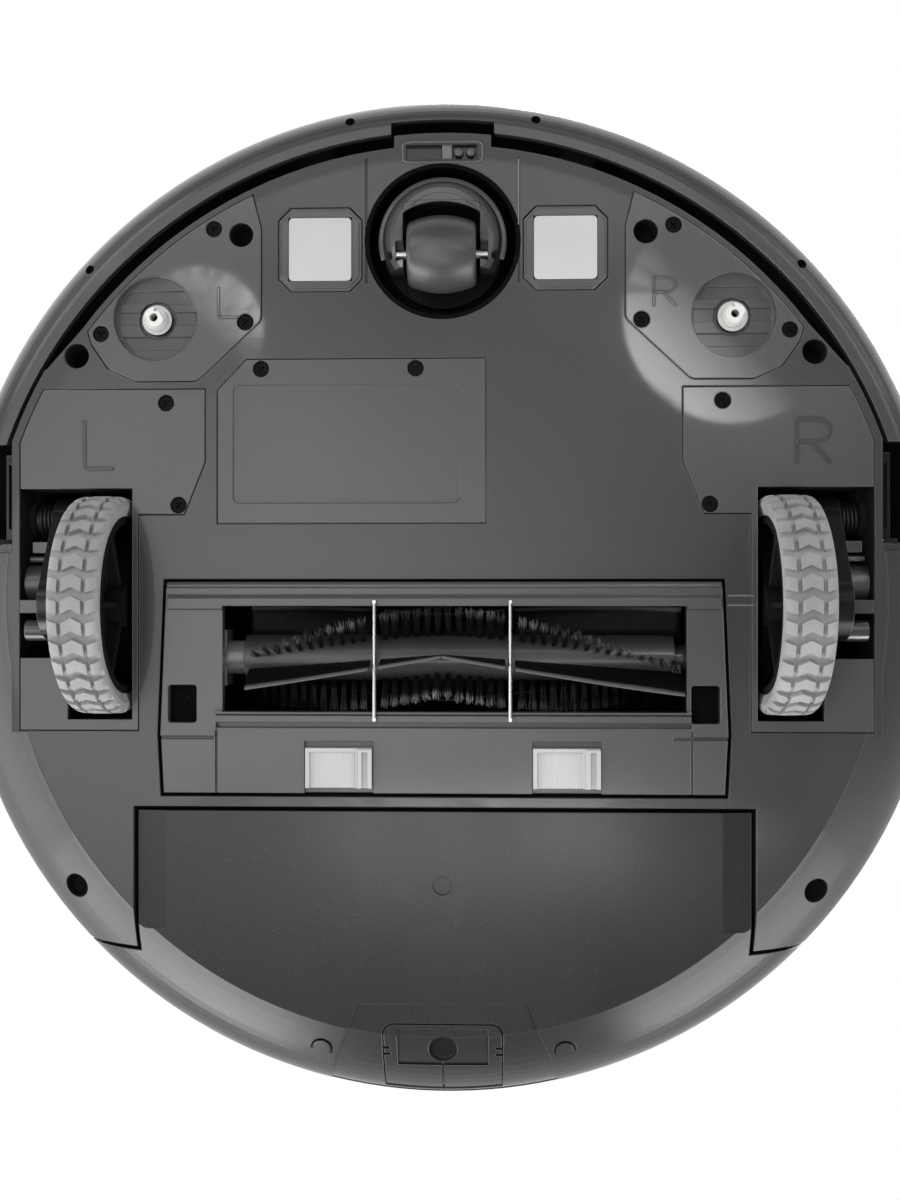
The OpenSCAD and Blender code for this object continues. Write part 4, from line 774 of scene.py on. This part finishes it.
class Stage(bpy.types.Operator):
    """Pale floor, soft lamps and the camera that looks up at the belly"""

    bl_idname = "robovac.stage"
    bl_label = "Stage"

    def lamp(self, name, place, size, power):
        """Rectangular softbox turned towards the middle of the body."""
        data = bpy.data.lights.new(name, "AREA")
        data.shape, data.size, data.size_y, data.energy = "RECTANGLE", size[0], size[1], power
        thing = bpy.data.objects.new(name, data)
        bpy.context.scene.collection.objects.link(thing)
        thing.location = place
        away = np.array((0.0, 0.0, 0.05)) - np.array(place)
        flat = math.hypot(away[0], away[1])
        thing.rotation_euler = (math.atan2(flat, -away[2]), 0.0, math.atan2(-away[0], away[1]))

    def card(self, name, middle, size, strength, towards=None):
        """Oval lit card beside the camera, seen in gloss alone: soft all round, or brightest at one rim."""
        height, rings, sides = BELLY - 0.4, 5, 64
        turn = np.linspace(0, math.tau, sides, endpoint=False)[None, :]
        reach = np.linspace(0.01, 1, rings)[:, None]
        points = np.stack([middle[0] + size[0] * reach * np.cos(turn),
                           middle[1] + size[1] * reach * np.sin(turn),
                           np.full((rings, sides), height)], axis=-1)
        disc = mesh_object(name, points.reshape(-1, 3), [grid_faces(rings, sides)], smooth=False)
        light = Recipe(name)
        spot = light.vector("SUBTRACT", light.place, (*middle, height))
        spot = light.vector("MULTIPLY", spot, (1 / size[0], 1 / size[1], 0))
        if towards:
            level = light.span(light.vector("DOT_PRODUCT", spot, (*towards, 0)), 0.1, 0.9, 0.0, strength)
        else:
            out = light.vector("LENGTH", spot)
            level = light.add("ShaderNodeMapRange", {0: out, 1: 1.0, 2: 0.25, 3: 0.0, 4: strength},
                              interpolation_type="SMOOTHSTEP").outputs[0]
        light.join(light.add("ShaderNodeEmission", {"Strength": level}).outputs[0], light.surface)
        disc.data.materials.append(light.material)
        disc.visible_camera = disc.visible_diffuse = disc.visible_shadow = False

    def floor(self, half, rows=9):
        """Square floor just under the wheels, clear from below and left out of gloss and shadows."""
        span = np.linspace(-half, half, rows)
        x, y = np.meshgrid(span, span)
        points = np.column_stack([x.ravel(), y.ravel(), np.full(x.size, -0.2 * MM)])
        floor = mesh_object("floor", points, [grid_faces(rows, rows, False)], smooth=False)
        skin = Recipe("pale floor", Roughness=0.7)
        skin.colour(skin.blend(skin.noise(3, 3), grey(0.80), grey(0.84)))
        behind = skin.add("ShaderNodeNewGeometry").outputs["Backfacing"]
        clear = skin.add("ShaderNodeBsdfTransparent").outputs[0]
        one_sided = skin.add("ShaderNodeMixShader", {0: behind, 1: skin.skin.outputs[0], 2: clear})
        skin.join(one_sided.outputs[0], skin.surface)
        floor.data.materials.append(skin.material)
        floor.visible_shadow = floor.visible_diffuse = floor.visible_glossy = False

    def execute(self, context):
        scene, sizes = context.scene, context.scene.robovac_stage
        scene.view_settings.view_transform = "Standard"

        self.floor(sizes.floor)
        self.card("left card", (-0.172, -0.172), (0.042, 0.042), 14.0, (0.7, -0.7))
        self.card("right card", (0.170, -0.182), (0.070, 0.070), 14.0, (-0.75, 0.66))
        self.card("broad card", (-0.17, 0.05), (0.40, 0.27), 1.5)
        self.card("rear card", (0.02, 0.15), (0.21, 0.05), 7.0)
        self.card("front card", (0.01, -0.27), (0.30, 0.08), 1.6)

        self.lamp("rear left softbox", (-0.88, 1.1, -0.3), (1.0, 0.7), 12.5)
        self.lamp("rear right softbox", (0.9, 1.1, -0.3), (0.9, 0.7), 9.5)
        self.lamp("left softbox", (-1.35, 0.25, -0.25), (0.9, 0.7), 6.0)
        self.lamp("low softbox", (-0.6, -0.3, -1.6), (0.5, 0.5), 5.0)
        self.lamp("front left softbox", (-0.9, -0.75, -0.9), (0.6, 0.6), 2.4)
        self.lamp("front right softbox", (0.9, -0.7, -0.9), (0.6, 0.6), 1.8)
        self.lamp("overhead", (0.4, -0.6, 2.2), (1.6, 1.6), 40.0)

        world = bpy.data.worlds.new("studio")
        scene.world = world
        world.use_nodes = True
        tree = world.node_tree
        tree.nodes.clear()

        def add(kind, *sources, **settings):
            """Node whose inputs are joined or set in order."""
            node = tree.nodes.new(kind)
            for key, value in settings.items():
                setattr(node, key, value)
            for socket, value in zip(node.inputs, sources):
                if isinstance(value, bpy.types.NodeSocket):
                    tree.links.new(value, socket)
                else:
                    socket.default_value = value
            return node.outputs[0]

        # white wherever the camera, glass and the gloss of upper surfaces look; grey below the floor
        path = tree.nodes.new("ShaderNodeLightPath").outputs
        heading = tree.nodes.new("ShaderNodeTexCoord").outputs["Generated"]
        height = tree.nodes.new("ShaderNodeSeparateXYZ")
        tree.links.new(heading, height.inputs[0])
        level = add("ShaderNodeMapRange", height.outputs[2], -0.25, 0.05, 0.0, 1.0)
        gloss = add("ShaderNodeMath", path["Is Glossy Ray"], level, operation="MULTIPLY")
        clear = add("ShaderNodeMath", path["Is Camera Ray"], path["Is Transmission Ray"], operation="MAXIMUM")
        seen = add("ShaderNodeMath", clear, gloss, operation="MAXIMUM")
        dim = add("ShaderNodeMapRange", path["Is Glossy Ray"], 0.0, 1.0, 0.6, 0.15)
        fill = add("ShaderNodeBackground", (1.0, 1.0, 1.0, 1.0), dim)
        white = add("ShaderNodeBackground", (1.0, 1.0, 1.0, 1.0), 1.0)
        tree.links.new(add("ShaderNodeMixShader", seen, fill, white),
                       tree.nodes.new("ShaderNodeOutputWorld").inputs[0])

        data = bpy.data.cameras.new("camera")
        data.lens, data.sensor_width, data.clip_start = sizes.focal, 36.0, 0.02
        camera = bpy.data.objects.new("camera", data)
        scene.collection.objects.link(camera)
        lean, away = math.radians(1.8), sizes.distance
        centre_x, centre_y = 2.4 * MM, 0.3 * MM
        camera.location = (centre_x + away * math.sin(lean), centre_y, BELLY - away * math.cos(lean))
        camera.rotation_euler = Euler((math.pi, -lean, 0.0))
        scene.camera = camera
        return {"FINISHED"}


# ---------- panel and registration ----------

OPERATORS = (FinishBody, FinishRunningGear, BrushFins, BrushHair, SuspensionSprings, CasterTrim, SensorTrim,
             SideMarks, SensorGaskets, Stage)
GROUPS = {"robovac_brush": BrushSizes, "robovac_colours": BodyColours, "robovac_stage": StageSizes}


class ROBOVAC_PT_pieces(bpy.types.Panel):
    """Lists the pieces in the sidebar of the 3D view"""

    bl_label = "Robot Vacuum"
    bl_space_type = "VIEW_3D"
    bl_region_type = "UI"
    bl_category = "Robot Vacuum"

    def draw(self, context):
        for group in GROUPS:
            box = self.layout.box()
            for key in getattr(context.scene, group).__annotations__:
                box.prop(getattr(context.scene, group), key)
        for operator in OPERATORS:
            self.layout.operator(operator.bl_idname)


def register():
    for kind in (*GROUPS.values(), *OPERATORS, ROBOVAC_PT_pieces):
        bpy.utils.register_class(kind)
    for name, group in GROUPS.items():
        setattr(bpy.types.Scene, name, bpy.props.PointerProperty(type=group))


def unregister():
    for name in GROUPS:
        delattr(bpy.types.Scene, name)
    for kind in (ROBOVAC_PT_pieces, *reversed(OPERATORS), *reversed(GROUPS.values())):
        bpy.utils.unregister_class(kind)


def main():
    register()
    for operator in OPERATORS:
        group, name = operator.bl_idname.split(".")
        getattr(getattr(bpy.ops, group), name)()


if __name__ == "__main__":
    main()
